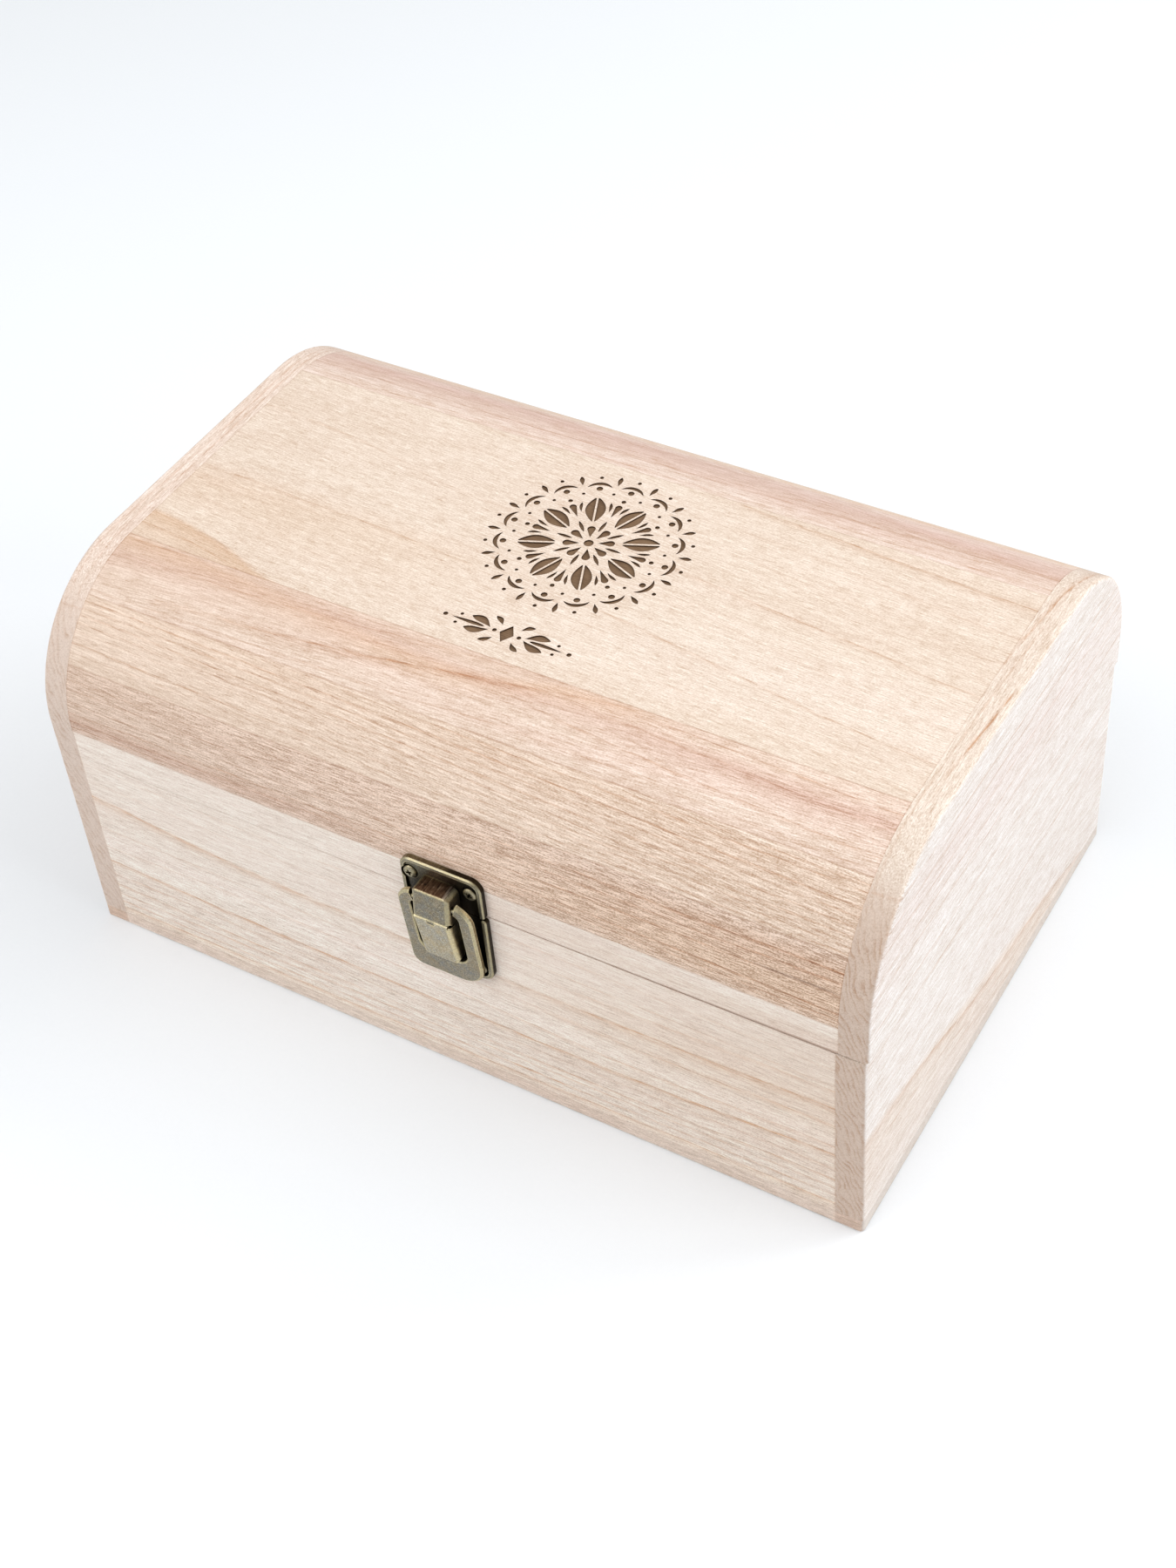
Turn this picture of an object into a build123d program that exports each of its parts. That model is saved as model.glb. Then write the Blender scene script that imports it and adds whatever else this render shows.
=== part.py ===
from build123d import *
import os
from math import acos, atan, atan2, cos, degrees, sin, radians, sqrt

# Dome-top keepsake chest in pale wood: a box-jointless carcass of glued boards,
# a lid with a quarter-round front and rear made of bevelled staves, two rear
# butt hinges and a cast brass clasp.  Millimetres, +Z up.  Origin: centre of
# the underside.  Front is -Y.

# ---------------------------------------------------------------- dimensions
L = 310.0            # length of the base, X
D = 200.0            # depth, Y
H = 150.0            # height, Z
T = 10.0             # board thickness of walls, ends and lid
T_BOTTOM = 6.0       # thickness of the bottom panel, glued on under the walls
R_DOME = 50.0        # outer radius of the front and rear round of the lid
Z_DOME = H - R_DOME  # height where the round starts
Z_BASE_TOP = 86.60   # top edge of the base
SEAM_LEFT = 0.12     # gap under the lid at the left end
SEAM_RIGHT = 0.87    # gap under the lid at the right end: the lid is slightly warped
LID_EXTRA = 0.9      # the lid is this much longer than the base, on the right
EDGE_R = 1.5         # rounding of the outer edges of the end boards
FRONT_ANGLES = (29.3, 58.0)    # joints between the front staves
REAR_ANGLES = (60.0, 30.0)     # joints between the rear staves
Z_FRONT_RAIL = 99.0  # joint between the lid's front rail and the first stave
Z_REAR_RAIL = 100.0
Y_TOP_FRONT = -51.0  # front and rear joints of the flat top board
Y_TOP_REAR = 52.0

# clasp
LX = 6.4             # centre of the plates along X
NX = 5.65            # centre of the nose, tongue, ring and screws: they sit a little to the left
LOW_SHIFT = 0.4      # the lower plate sits this much further right
PLATE_HALF = 15.4
PLATE_T = 2.2        # thickness at the rim
PLATE_FLOOR = 1.2    # thickness inside the rim
RIM_W = 1.6
PLATE_R = 4.5        # outer corner radius
PLATE_TOP = 103.5
UPPER_SEAM = 86.72
LOWER_SEAM = 86.20
PLATE_BOTTOM = 56.5
SCREW_DX = 11.4      # half spacing of the plate screws
SCREW_Z_UP = 96.5
SCREW_Z_LOW = 60.9
NOSE_HALF = 7.15
NOSE_R = 2.0         # rounding of the front edges of the nose and tongue
NOSE_R_END = 0.9     # the same along the nose's top and the tongue's bottom
NOSE_TOP_Z, NOSE_TOP_D = 97.3, 8.1
RIDGE_Z, RIDGE_D = 85.25, 9.6
TONGUE_Z, TONGUE_D = 65.0, 6.55
HINGE_D = 8.75       # tongue hinge axis: distance from the wall
HINGE_Z = 85.25
KNUCKLE_R = 0.85
TONGUE_PIN_R = 0.45
RUN = 0.05           # running clearance on a radius
RING_PIVOT_Z, RING_PIVOT_D = 91.5, 6.3
RING_TILT = 5.0      # the hanging ring leans in towards the lower plate
RING_HALF = 14.2
RING_SIDE = 5.0
RING_DROP = 37.7     # pivot to outer bottom edge
RING_BAR = 10.0
RING_HEAD = 2.8      # the arms' height above the pivot
RING_T = 1.8
RING_END = 7.4       # where the arms end beside the nose
TRUNNION_R = 0.75
KEEPER = (2.4, 71.0, 78.0, 4.8)   # half width, low z, high z, protrusion

# rear hinges
HX = (-92.0, 92.0)   # hinge centres
LEAF_W = 30.0
LEAF_T = 1.0
BARREL_R = 2.2
BARREL_GAP = 0.1     # barrel to rear face
HINGE_AXIS_Z = 86.70
LEAF_LOW = 74.4
LEAF_HIGH = 98.6
PIN_R = 1.1

YF = -D / 2
YR = D / 2
X0 = L / 2
XI = X0 - T
XL1 = X0 + LID_EXTRA      # right face of the lid
XLI = XL1 - T
AY = YR + BARREL_GAP + BARREL_R   # rear hinge axis, Y
SEAM_Z0 = Z_BASE_TOP + SEAM_LEFT

os.makedirs("parts", exist_ok=True)


# ---------------------------------------------------------------- helpers
def box(x0, x1, y0, y1, z0, z1):
    return Pos((x0 + x1) / 2, (y0 + y1) / 2, (z0 + z1) / 2) * Box(x1 - x0, y1 - y0, z1 - z0)


def cyl_x(x0, x1, y, z, r):
    return Pos((x0 + x1) / 2, y, z) * (Rot(0, 90, 0) * Cylinder(r, x1 - x0))


def cyl_y(x, z, y0, y1, r):
    return Pos(x, (y0 + y1) / 2, z) * (Rot(90, 0, 0) * Cylinder(r, y1 - y0))




def front_pt(r, a):
    return (-(D / 2 - R_DOME) - r * cos(radians(a)), Z_DOME + r * sin(radians(a)))


def rear_pt(r, a):
    y, z = front_pt(r, a)
    return (-y, z)


def outline(*parts):
    """Joins 2-D points and arcs: a part is a point, or (mid, end) for an arc."""
    edges = []
    here = parts[0]
    for p in parts[1:]:
        if isinstance(p[0], tuple):
            edges.append(ThreePointArc(here, p[0], p[1]))
            here = p[1]
        else:
            edges.append(Line(here, p))
            here = p
    if abs(here[0] - parts[0][0]) > 1e-9 or abs(here[1] - parts[0][1]) > 1e-9:
        edges.append(Line(here, parts[0]))
    return make_face(Curve() + edges)


def along_x(face, x0, x1):
    return Pos(x0, 0, 0) * extrude(Plane.YZ * face, amount=x1 - x0)


def out_front(face, d0, d1):
    """An outline in X, Z, extruded from d0 to d1 in front of the front wall."""
    plane = Plane(origin=(0, YF - d0, 0), x_dir=(1, 0, 0), z_dir=(0, -1, 0))
    return extrude(plane * face, amount=d1 - d0)


def save(shape, name):
    solids = shape.solids()
    shape = solids[0] if len(solids) == 1 else Compound(children=list(solids))
    shape.label = name
    export_step(shape, f"parts/{name}.step")


# the slightly bowed underside of the lid: everything below it is cut away
xa, xb = -X0 - 5, XL1 + 5


def seam(x):
    t = (x + X0) / (XL1 + X0)
    return SEAM_Z0 + (SEAM_RIGHT - SEAM_LEFT) * max(t, 0) ** 2


seam_face = make_face(Curve() + [
    Line((xa, 60), (xa, seam(xa))),
    Line((xa, seam(xa)), (-X0, seam(-X0))),
    ThreePointArc((-X0, seam(-X0)), ((XL1 - X0) / 2, seam((XL1 - X0) / 2)), (XL1, seam(XL1))),
    Line((XL1, seam(XL1)), (xb, seam(XL1))),
    Line((xb, seam(XL1)), (xb, 60)),
    Line((xb, 60), (xa, 60)),
])
seam_cut = extrude(Plane(origin=(0, -D, 0), x_dir=(1, 0, 0), z_dir=(0, -1, 0)) * seam_face, amount=-2 * D)


def ease(shape, x, r=EDGE_R, skip=()):
    """Rounds the edges around the face at this x, apart from those lying at a height in skip."""
    edges = []
    for e in shape.edges():
        bb = e.bounding_box()
        if abs(bb.min.X - x) > 0.01 or abs(bb.max.X - x) > 0.01:
            continue
        if any(abs(bb.min.Z - z) < 1.5 and abs(bb.max.Z - z) < 1.5 for z in skip):
            continue
        edges.append(e)
    return fillet(edges, r)


# ---------------------------------------------------------------- base boards
bottom = box(-X0, X0, YF, YR, 0, T_BOTTOM)
bottom = fillet(bottom.edges().filter_by(Axis.Z), EDGE_R)
bottom = chamfer(bottom.faces().sort_by(Axis.Z)[0].edges(), 0.6)

base_end_l = ease(box(-X0, -XI, YF, YR, T_BOTTOM, Z_BASE_TOP), -X0, skip=(T_BOTTOM, Z_BASE_TOP))
base_end_r = ease(box(XI, X0, YF, YR, T_BOTTOM, Z_BASE_TOP), X0, skip=(T_BOTTOM, Z_BASE_TOP))
base_front = box(-XI, XI, YF, YF + T, T_BOTTOM, Z_BASE_TOP)
base_rear = box(-XI, XI, YR - T, YR, T_BOTTOM, Z_BASE_TOP)

# ---------------------------------------------------------------- lid boards
end_face = outline(
    (YF, 70), (YF, Z_DOME),
    (front_pt(R_DOME, 45), front_pt(R_DOME, 90)),
    rear_pt(R_DOME, 90),
    (rear_pt(R_DOME, 45), (YR, Z_DOME)),
    (YR, 70),
)
lid_end_l = along_x(end_face, -X0, -XI) - seam_cut
lid_end_r = along_x(end_face, XLI, XL1) - seam_cut
lid_end_l = ease(lid_end_l, -X0, skip=(Z_BASE_TOP,))
lid_end_r = ease(lid_end_r, XL1, skip=(Z_BASE_TOP,))

lid_front_rail = box(-XI, XLI, YF, YF + T, 70, Z_FRONT_RAIL) - seam_cut
lid_rear_rail = box(-XI, XLI, YR - T, YR, 70, Z_REAR_RAIL) - seam_cut

RI = R_DOME - T
a1, a2 = FRONT_ANGLES
b1, b2 = REAR_ANGLES


def on_circle(r, y, side):
    """The point at this y on the front (-1) or rear (+1) circle."""
    c = side * (D / 2 - R_DOME)
    return (y, Z_DOME + sqrt(r * r - (y - c) ** 2))


def mid_angle(p, q):
    """Half way along the outer arc from p to q, both on the same circle."""
    c = -(D / 2 - R_DOME) if p[0] < 0 else (D / 2 - R_DOME)
    ap = atan2(p[1] - Z_DOME, p[0] - c)
    aq = atan2(q[1] - Z_DOME, q[0] - c)
    m = (ap + aq) / 2
    return (c + R_DOME * cos(m), Z_DOME + R_DOME * sin(m))


p1 = front_pt(R_DOME, a1)
stave_f1 = along_x(outline((YF, Z_FRONT_RAIL), (YF, Z_DOME), (mid_angle((YF, Z_DOME), p1), p1),
                           front_pt(RI, a1), (YF + T, Z_FRONT_RAIL)), -XI, XLI)
p2 = front_pt(R_DOME, a2)
stave_f2 = along_x(outline(p1, (mid_angle(p1, p2), p2), front_pt(RI, a2), front_pt(RI, a1)), -XI, XLI)
p3 = on_circle(R_DOME, Y_TOP_FRONT, -1)
q3 = (Y_TOP_FRONT, H - T)
stave_f3 = along_x(outline(p2, (mid_angle(p2, p3), p3), q3, front_pt(RI, a2)), -XI, XLI)

p4 = on_circle(R_DOME, Y_TOP_REAR, 1)
q4 = (Y_TOP_REAR, H - T)
top_flat_f = (-(D / 2 - R_DOME), H)
top_flat_r = ((D / 2 - R_DOME), H)
top_board = along_x(outline(p3, (mid_angle(p3, top_flat_f), top_flat_f), top_flat_r,
                            (mid_angle(top_flat_r, p4), p4), q4, q3), -XI, XLI)
p5 = rear_pt(R_DOME, b1)
stave_r3 = along_x(outline(p4, (mid_angle(p4, p5), p5), rear_pt(RI, b1), q4), -XI, XLI)
p6 = rear_pt(R_DOME, b2)
stave_r2 = along_x(outline(p5, (mid_angle(p5, p6), p6), rear_pt(RI, b2), rear_pt(RI, b1)), -XI, XLI)
stave_r1 = along_x(outline(p6, (mid_angle(p6, (YR, Z_DOME)), (YR, Z_DOME)), (YR - T, Z_DOME), rear_pt(RI, b2)),
                   -XI, XLI)


# ---------------------------------------------------------------- screws
def cross(depth, arm, width):
    """A cross recess cutter whose mouth is at z = 0, going down."""
    c = Pos(0, 0, -depth / 2) * Box(arm, width, depth) + Pos(0, 0, -depth / 2) * Box(width, arm, depth)
    return c


def pan_screw(head_r, head_h, shank_r, length):
    """Pan-head screw: the head's underside at z = 0, the shank going down to a point."""
    prof = make_face(Curve() + [
        Line((0, -length), (0, head_h)),
        Line((0, head_h), (head_r * 0.45, head_h)),
        ThreePointArc((head_r * 0.45, head_h), (head_r * 0.86, head_h * 0.72), (head_r, head_h * 0.25)),
        Line((head_r, head_h * 0.25), (head_r, 0)),
        Line((head_r, 0), (shank_r, 0)),
        Line((shank_r, 0), (shank_r, -length + 2.0)),
        Line((shank_r, -length + 2.0), (0, -length)),
    ])
    s = revolve(Plane.XZ * prof, Axis.Z)
    return s - Pos(0, 0, head_h + 0.01) * cross(0.66, head_r * 1.25, head_r * 0.32)


def pilot(shank_r, length):
    """The hole the shank leaves, a little larger than the shank."""
    c = 0.02
    prof = make_face(Curve() + [
        Line((0, -length - c), (0, 3)),
        Line((0, 3), (shank_r + c, 3)),
        Line((shank_r + c, 3), (shank_r + c, -length + 2.0)),
        Line((shank_r + c, -length + 2.0), (0, -length - c)),
    ])
    return revolve(Plane.XZ * prof, Axis.Z)


def face_front(shape, x, z, d, spin=0):
    """Turns +Z of a screw to -Y and puts its origin d in front of the front wall."""
    return Pos(x, YF - d, z) * (Rot(90, 0, 0) * (Rot(0, 0, spin) * shape))


def face_rear(shape, x, z, d, spin=0):
    return Pos(x, YR + d, z) * (Rot(-90, 0, 0) * (Rot(0, 0, spin) * shape))


PS = (2.55, 0.95, 1.0, 8.0)      # plate screws: head radius, head height, shank radius, length
HS = (1.9, 0.75, 0.9, 7.0)       # hinge screws


# ---------------------------------------------------------------- clasp plates
def plate(z_seam, z_end, cx):
    """A rimmed plate, square at the seam and rounded at its far end; the floor is open towards the seam."""
    up = 1 if z_end > z_seam else -1
    h = abs(z_end - z_seam)
    outer = Pos(cx, (z_seam + z_end) / 2) * Rectangle(2 * PLATE_HALF, h)
    far = outer.vertices().group_by(Axis.Y)[-1 if up > 0 else 0]
    outer = fillet(far, PLATE_R)
    near = outer.vertices().group_by(Axis.Y)[0 if up > 0 else -1]
    outer = fillet(near, 1.1)
    body = out_front(outer, 0, PLATE_T)
    front = body.faces().sort_by(Axis.Y)[0]
    keep = [e for e in front.edges() if abs(e.center().Z - z_seam) > 0.2]
    body = chamfer(keep, 0.5)
    h2 = h - RIM_W + 2
    zc = z_seam - up * 2 + up * h2 / 2
    inner = Pos(cx, zc) * Rectangle(2 * (PLATE_HALF - RIM_W), h2)
    far2 = inner.vertices().group_by(Axis.Y)[-1 if up > 0 else 0]
    inner = fillet(far2, PLATE_R - RIM_W)
    return body - out_front(inner, PLATE_FLOOR, PLATE_T + 1)


def dz(points):
    """Profile points given as (distance from the wall, height)."""
    return [(YF - d, z) for d, z in points]


def rounded_bar(d0, z0, m):
    """A long bar whose front follows the facet d = d0 + m (z - z0), with rounded front edges."""
    sk = Pos(0, 8) * Rectangle(2 * NOSE_HALF, 16)
    sk = fillet(sk.vertices().group_by(Axis.Y)[0], NOSE_R)
    bar = Pos(0, 0, -40) * extrude(sk, amount=80)
    return Pos(NX, YF - d0, z0) * (Rot(degrees(atan(m)), 0, 0) * bar)


def round_corner(face, d, z, r):
    """Rounds one corner of a profile, given as distance from the wall and height."""
    near = [v for v in face.vertices() if abs(v.X - (YF - d)) < 1e-6 and abs(v.Y - z) < 1e-6]
    return fillet(near, r)


def front_outline(z0, z1, r, at_top):
    """The front view of the nose or tongue: a rectangle with two rounded corners, as a block along Y."""
    sk = Pos(NX, (z0 + z1) / 2) * Rectangle(2 * NOSE_HALF, z1 - z0)
    sk = fillet(sk.vertices().group_by(Axis.Y)[-1 if at_top else 0], r)
    return out_front(sk, -1, 14)


upper_plate = plate(UPPER_SEAM, PLATE_TOP, LX)
lower_plate = plate(LOWER_SEAM, PLATE_BOTTOM, LX + LOW_SHIFT)

# fixed nose on the upper plate
ridge_top_z = RIDGE_Z + 0.05
slope_up = (RIDGE_D - 0.1 - NOSE_TOP_D) / (NOSE_TOP_Z - RIDGE_Z)
nose_prof = dz([(PLATE_FLOOR - 0.2, NOSE_TOP_Z), (NOSE_TOP_D, NOSE_TOP_Z),
                (NOSE_TOP_D + slope_up * (NOSE_TOP_Z - ridge_top_z), ridge_top_z),
                (2.7, ridge_top_z), (2.7, UPPER_SEAM + 0.1), (PLATE_FLOOR - 0.2, UPPER_SEAM + 0.1)])
nose_face = round_corner(outline(*nose_prof), NOSE_TOP_D, NOSE_TOP_Z, NOSE_R_END)
nose = along_x(nose_face, NX - NOSE_HALF, NX + NOSE_HALF)
nose = nose & rounded_bar(NOSE_TOP_D, NOSE_TOP_Z, -slope_up)
nose = nose & front_outline(UPPER_SEAM - 8, NOSE_TOP_Z, 2.4, True)
groove = cyl_x(NX - NOSE_HALF - 1, NX + NOSE_HALF + 1, YF - HINGE_D, HINGE_Z, 1.15)
nose = nose - groove
lug = cyl_x(NX - 1.3, NX + 1.3, YF - HINGE_D, HINGE_Z, KNUCKLE_R) + box(
    NX - 1.3, NX + 1.3, YF - HINGE_D - 0.15, YF - HINGE_D + KNUCKLE_R, HINGE_Z, HINGE_Z + 1.7)
nose = nose + lug
nose = nose - cyl_x(NX - 6.45, NX + 6.45, YF - HINGE_D, HINGE_Z, TONGUE_PIN_R)
upper_plate = upper_plate + nose
for sx in (-1, 1):
    xa0, xa1 = sorted((NX + sx * 5.4, NX + sx * (NOSE_HALF + 1)))
    upper_plate -= cyl_x(xa0, xa1, YF - RING_PIVOT_D, RING_PIVOT_Z, TRUNNION_R + RUN)

# keeper stud on the lower plate, inside the closed tongue
kh, kz0, kz1, kd = KEEPER
keeper = box(NX - kh, NX + kh, YF - kd, YF - PLATE_FLOOR + 0.2, kz0, kz1)
keeper = chamfer([e for e in keeper.edges() if abs(e.center().Y - (YF - kd)) < 0.01], 0.7)
lower_plate = lower_plate + keeper

for sx in (-1, 1):
    for zz, which in ((SCREW_Z_UP, "u"), (SCREW_Z_LOW, "l")):
        hole = cyl_y(NX + sx * SCREW_DX, zz, YF - PLATE_T - 1, YF + 0.5, PS[2] + 0.1)
        hole += cyl_y(NX + sx * SCREW_DX, zz, YF - PLATE_T - 1, YF - PLATE_FLOOR, PS[0] + 0.38)
        hole += (cyl_y(NX + sx * SCREW_DX, zz, YF - PLATE_T - 1, YF - 0.55, PS[0] + 0.38)
                 - cyl_y(NX + sx * SCREW_DX, zz, YF - PLATE_T - 2, YF, PS[0]))
        if which == "u":
            upper_plate -= hole
        else:
            lower_plate -= hole
spins = {(-1, "u"): 20, (1, "u"): 62, (-1, "l"): 5, (1, "l"): 40}
up_screws, low_screws = [], []
for sx in (-1, 1):
    x = NX + sx * SCREW_DX
    up_screws.append(face_front(pan_screw(*PS), x, SCREW_Z_UP, PLATE_FLOOR, spins[(sx, "u")]))
    low_screws.append(face_front(pan_screw(*PS), x, SCREW_Z_LOW, PLATE_FLOOR, spins[(sx, "l")]))
    lid_front_rail -= face_front(pilot(PS[2], PS[3]), x, SCREW_Z_UP, PLATE_FLOOR)
    base_front -= face_front(pilot(PS[2], PS[3]), x, SCREW_Z_LOW, PLATE_FLOOR)
upper_screws = Compound(children=[s.solid() for s in up_screws])
lower_screws = Compound(children=[s.solid() for s in low_screws])

# ---------------------------------------------------------------- clasp tongue
tongue_prof = dz([(3.0, TONGUE_Z), (TONGUE_D, TONGUE_Z), (RIDGE_D, RIDGE_Z), (HINGE_D, RIDGE_Z),
                  (HINGE_D, RIDGE_Z - 0.4), (3.0, RIDGE_Z - 0.4)])
tongue_face = round_corner(outline(*tongue_prof), TONGUE_D, TONGUE_Z, NOSE_R_END)
tongue = along_x(tongue_face, NX - NOSE_HALF, NX + NOSE_HALF)
tongue = tongue & rounded_bar(TONGUE_D, TONGUE_Z, (RIDGE_D - TONGUE_D) / (RIDGE_Z - TONGUE_Z))
tongue = tongue & front_outline(TONGUE_Z, RIDGE_Z + 8, 3.0, False)
tongue += cyl_x(NX - NOSE_HALF + 0.8, NX + NOSE_HALF - 0.8, YF - HINGE_D, HINGE_Z, KNUCKLE_R)
wall = 1.4
k = (RIDGE_D - TONGUE_D) / (RIDGE_Z - TONGUE_Z)
zc0, zc1 = TONGUE_Z - 1.0, RIDGE_Z - 2.2
cav = dz([(2.0, zc0), (TONGUE_D - 1.5 + k * (zc0 - TONGUE_Z), zc0), (TONGUE_D - 1.5 + k * (zc1 - TONGUE_Z), zc1), (2.0, zc1)])
tongue -= along_x(outline(*cav), NX - NOSE_HALF + wall, NX + NOSE_HALF - wall)
tongue -= cyl_x(NX - 1.4, NX + 1.4, YF - HINGE_D, HINGE_Z, 1.0)
tongue -= cyl_x(NX - 6.45, NX + 6.45, YF - HINGE_D, HINGE_Z, TONGUE_PIN_R + RUN)
tongue_pin = cyl_x(NX - 6.35, NX + 6.35, YF - HINGE_D, HINGE_Z, TONGUE_PIN_R)

# ---------------------------------------------------------------- clasp ring
def arc_pt(cx, cz, r, a):
    return (cx + r * cos(radians(a)), cz + r * sin(radians(a)))


def stirrup():
    """The ring's outline: slanted arm ends, high shoulders, a tighter lower left corner than lower right."""
    o, i = RING_HALF, RING_HALF - RING_SIDE
    zb, zi = -RING_DROP, -RING_DROP + RING_BAR
    t, ti = RING_HEAD, -2.0
    e0, e1, h = RING_END, RING_END + 1.3, 7.5
    rl, rr, rti, rbi = 4.6, 9.4, 2.2, 5.0
    a = o - e1
    rs = (a * a + h * h) / (2 * a)
    amax = degrees(acos((rs - a) / rs))
    c = 1 - sqrt(0.5)
    mx, mz = arc_pt(o - rs, t - h, rs, amax / 2)
    edges = [
        Line((-e0, ti), (-e1, t)),
        ThreePointArc((-e1, t), (-mx, mz), (-o, t - h)),
        Line((-o, t - h), (-o, zb + rl)),
        ThreePointArc((-o, zb + rl), (-o + rl * c, zb + rl * c), (-o + rl, zb)),
        Line((-o + rl, zb), (o - rr, zb)),
        ThreePointArc((o - rr, zb), (o - rr * c, zb + rr * c), (o, zb + rr)),
        Line((o, zb + rr), (o, t - h)),
        ThreePointArc((o, t - h), (mx, mz), (e1, t)),
        Line((e1, t), (e0, ti)),
        Line((e0, ti), (i - rti, ti)) if i - rti > e0 + 0.05 else None,
        ThreePointArc((max(i - rti, e0), ti), (i - (i - max(i - rti, e0)) * c, ti - rti * c), (i, ti - rti)),
        Line((i, ti - rti), (i, zi + rbi)),
        ThreePointArc((i, zi + rbi), (i - rbi * c, zi + rbi * c), (i - rbi, zi)),
        Line((i - rbi, zi), (-i + rbi, zi)),
        ThreePointArc((-i + rbi, zi), (-i + rbi * c, zi + rbi * c), (-i, zi + rbi)),
        Line((-i, zi + rbi), (-i, ti - rti)),
        ThreePointArc((-i, ti - rti), (-i + (i - max(i - rti, e0)) * c, ti - rti * c), (-max(i - rti, e0), ti)),
        Line((-i + rti, ti), (-e0, ti)) if i - rti > e0 + 0.05 else None,
    ]
    return make_face(Curve() + [x for x in edges if x is not None])


ring_plane = Plane(origin=(0, RING_T / 2, 0), x_dir=(1, 0, 0), z_dir=(0, -1, 0))
ring = extrude(ring_plane * stirrup(), amount=RING_T)
inner_half, z_in = RING_HALF - RING_SIDE, -RING_DROP + RING_BAR


def rim_edges(shape, inside):
    front = shape.faces().sort_by(Axis.Y)[0]
    found = []
    for e in front.edges():
        c = e.center()
        end = abs(abs(c.X) - (RING_END + 0.65)) < 0.2 and -0.6 < c.Z < 1.4
        inner = abs(c.X) <= inner_half + 0.01 and z_in - 0.01 <= c.Z <= -1.9
        if not end and inner == inside:
            found.append(e)
    return found


ring = chamfer(rim_edges(ring, False), 0.75)
ring = chamfer(rim_edges(ring, True), 0.4)
for sx in (-1, 1):
    x_in, x_out = sorted((sx * 5.6, sx * (RING_END + 1.2)))
    ring += cyl_x(x_in, x_out, 0, 0, TRUNNION_R)
ring = Pos(NX, YF - RING_PIVOT_D, RING_PIVOT_Z) * (Rot(RING_TILT, 0, 0) * ring)


# ---------------------------------------------------------------- rear hinges
def leaf(hx, upper):
    """One leaf with its knuckles: five knuckles in all, three on the base leaf and two on the lid leaf."""
    w = LEAF_W
    n = 5
    k = w / n
    z_near = HINGE_AXIS_Z
    z_far = LEAF_HIGH if upper else LEAF_LOW
    lo, hi = sorted((z_near, z_far))
    s = box(hx - w / 2, hx + w / 2, YR, YR + LEAF_T, lo, hi)
    far_edges = [e for e in s.edges().filter_by(Axis.Y) if abs(e.center().Z - z_far) < 0.01]
    s = fillet(far_edges, 2.0)
    mine = (1, 3) if upper else (0, 2, 4)
    for j in range(n):
        x0, x1 = hx - w / 2 + j * k, hx - w / 2 + (j + 1) * k
        if j in mine:
            e0 = 0.0 if j == 0 else 0.08
            e1 = 0.0 if j == n - 1 else 0.08
            s += cyl_x(x0 + e0, x1 - e1, AY, HINGE_AXIS_Z, BARREL_R)
    for j in range(n):
        x0, x1 = hx - w / 2 + j * k, hx - w / 2 + (j + 1) * k
        if j not in mine:
            a = -1.0 if j == 0 else -0.08
            b = 1.0 if j == n - 1 else 0.08
            s -= cyl_x(x0 + a, x1 + b, AY, HINGE_AXIS_Z, BARREL_R + 0.35)
    bore = PIN_R + (RUN if upper else 0.0)
    s -= cyl_x(hx - w / 2 - 1, hx + w / 2 + 1, AY, HINGE_AXIS_Z, bore)
    zs = 93.6 if upper else 79.6
    for sx in (-1, 1):
        s -= cyl_y(hx + sx * 10.0, zs, YR - 0.5, YR + LEAF_T + 1, HS[2] + 0.1)
    return s


def hinge_screws(hx, zs):
    return [face_rear(pan_screw(*HS), hx + sx * 10.0, zs, LEAF_T, 15 + 33 * (sx > 0) + 20 * (hx > 0)) for sx in (-1, 1)]


leaves = {}
lid_hs, base_hs = [], []
for tag, hx in zip(("left", "right"), HX):
    leaves["hinge_base_leaf_" + tag] = leaf(hx, False)
    leaves["hinge_lid_leaf_" + tag] = leaf(hx, True)
    half = LEAF_W / 2 + 0.05
    pin = cyl_x(hx - half - 0.2, hx + half + 0.2, AY, HINGE_AXIS_Z, PIN_R)
    for sx in (-1, 1):
        x_lo, x_hi = sorted((hx + sx * half, hx + sx * (half + 0.9)))
        cap = cyl_x(x_lo, x_hi, AY, HINGE_AXIS_Z, 1.6)
        far = cap.edges().group_by(Axis.X)[-1 if sx > 0 else 0]
        pin += fillet(far, 0.55)
    leaves["hinge_pin_" + tag] = pin
    base_hs += hinge_screws(hx, 79.6)
    lid_hs += hinge_screws(hx, 93.6)
    for sx in (-1, 1):
        base_rear -= face_rear(pilot(HS[2], HS[3]), hx + sx * 10.0, 79.6, LEAF_T)
        lid_rear_rail -= face_rear(pilot(HS[2], HS[3]), hx + sx * 10.0, 93.6, LEAF_T)

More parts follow.
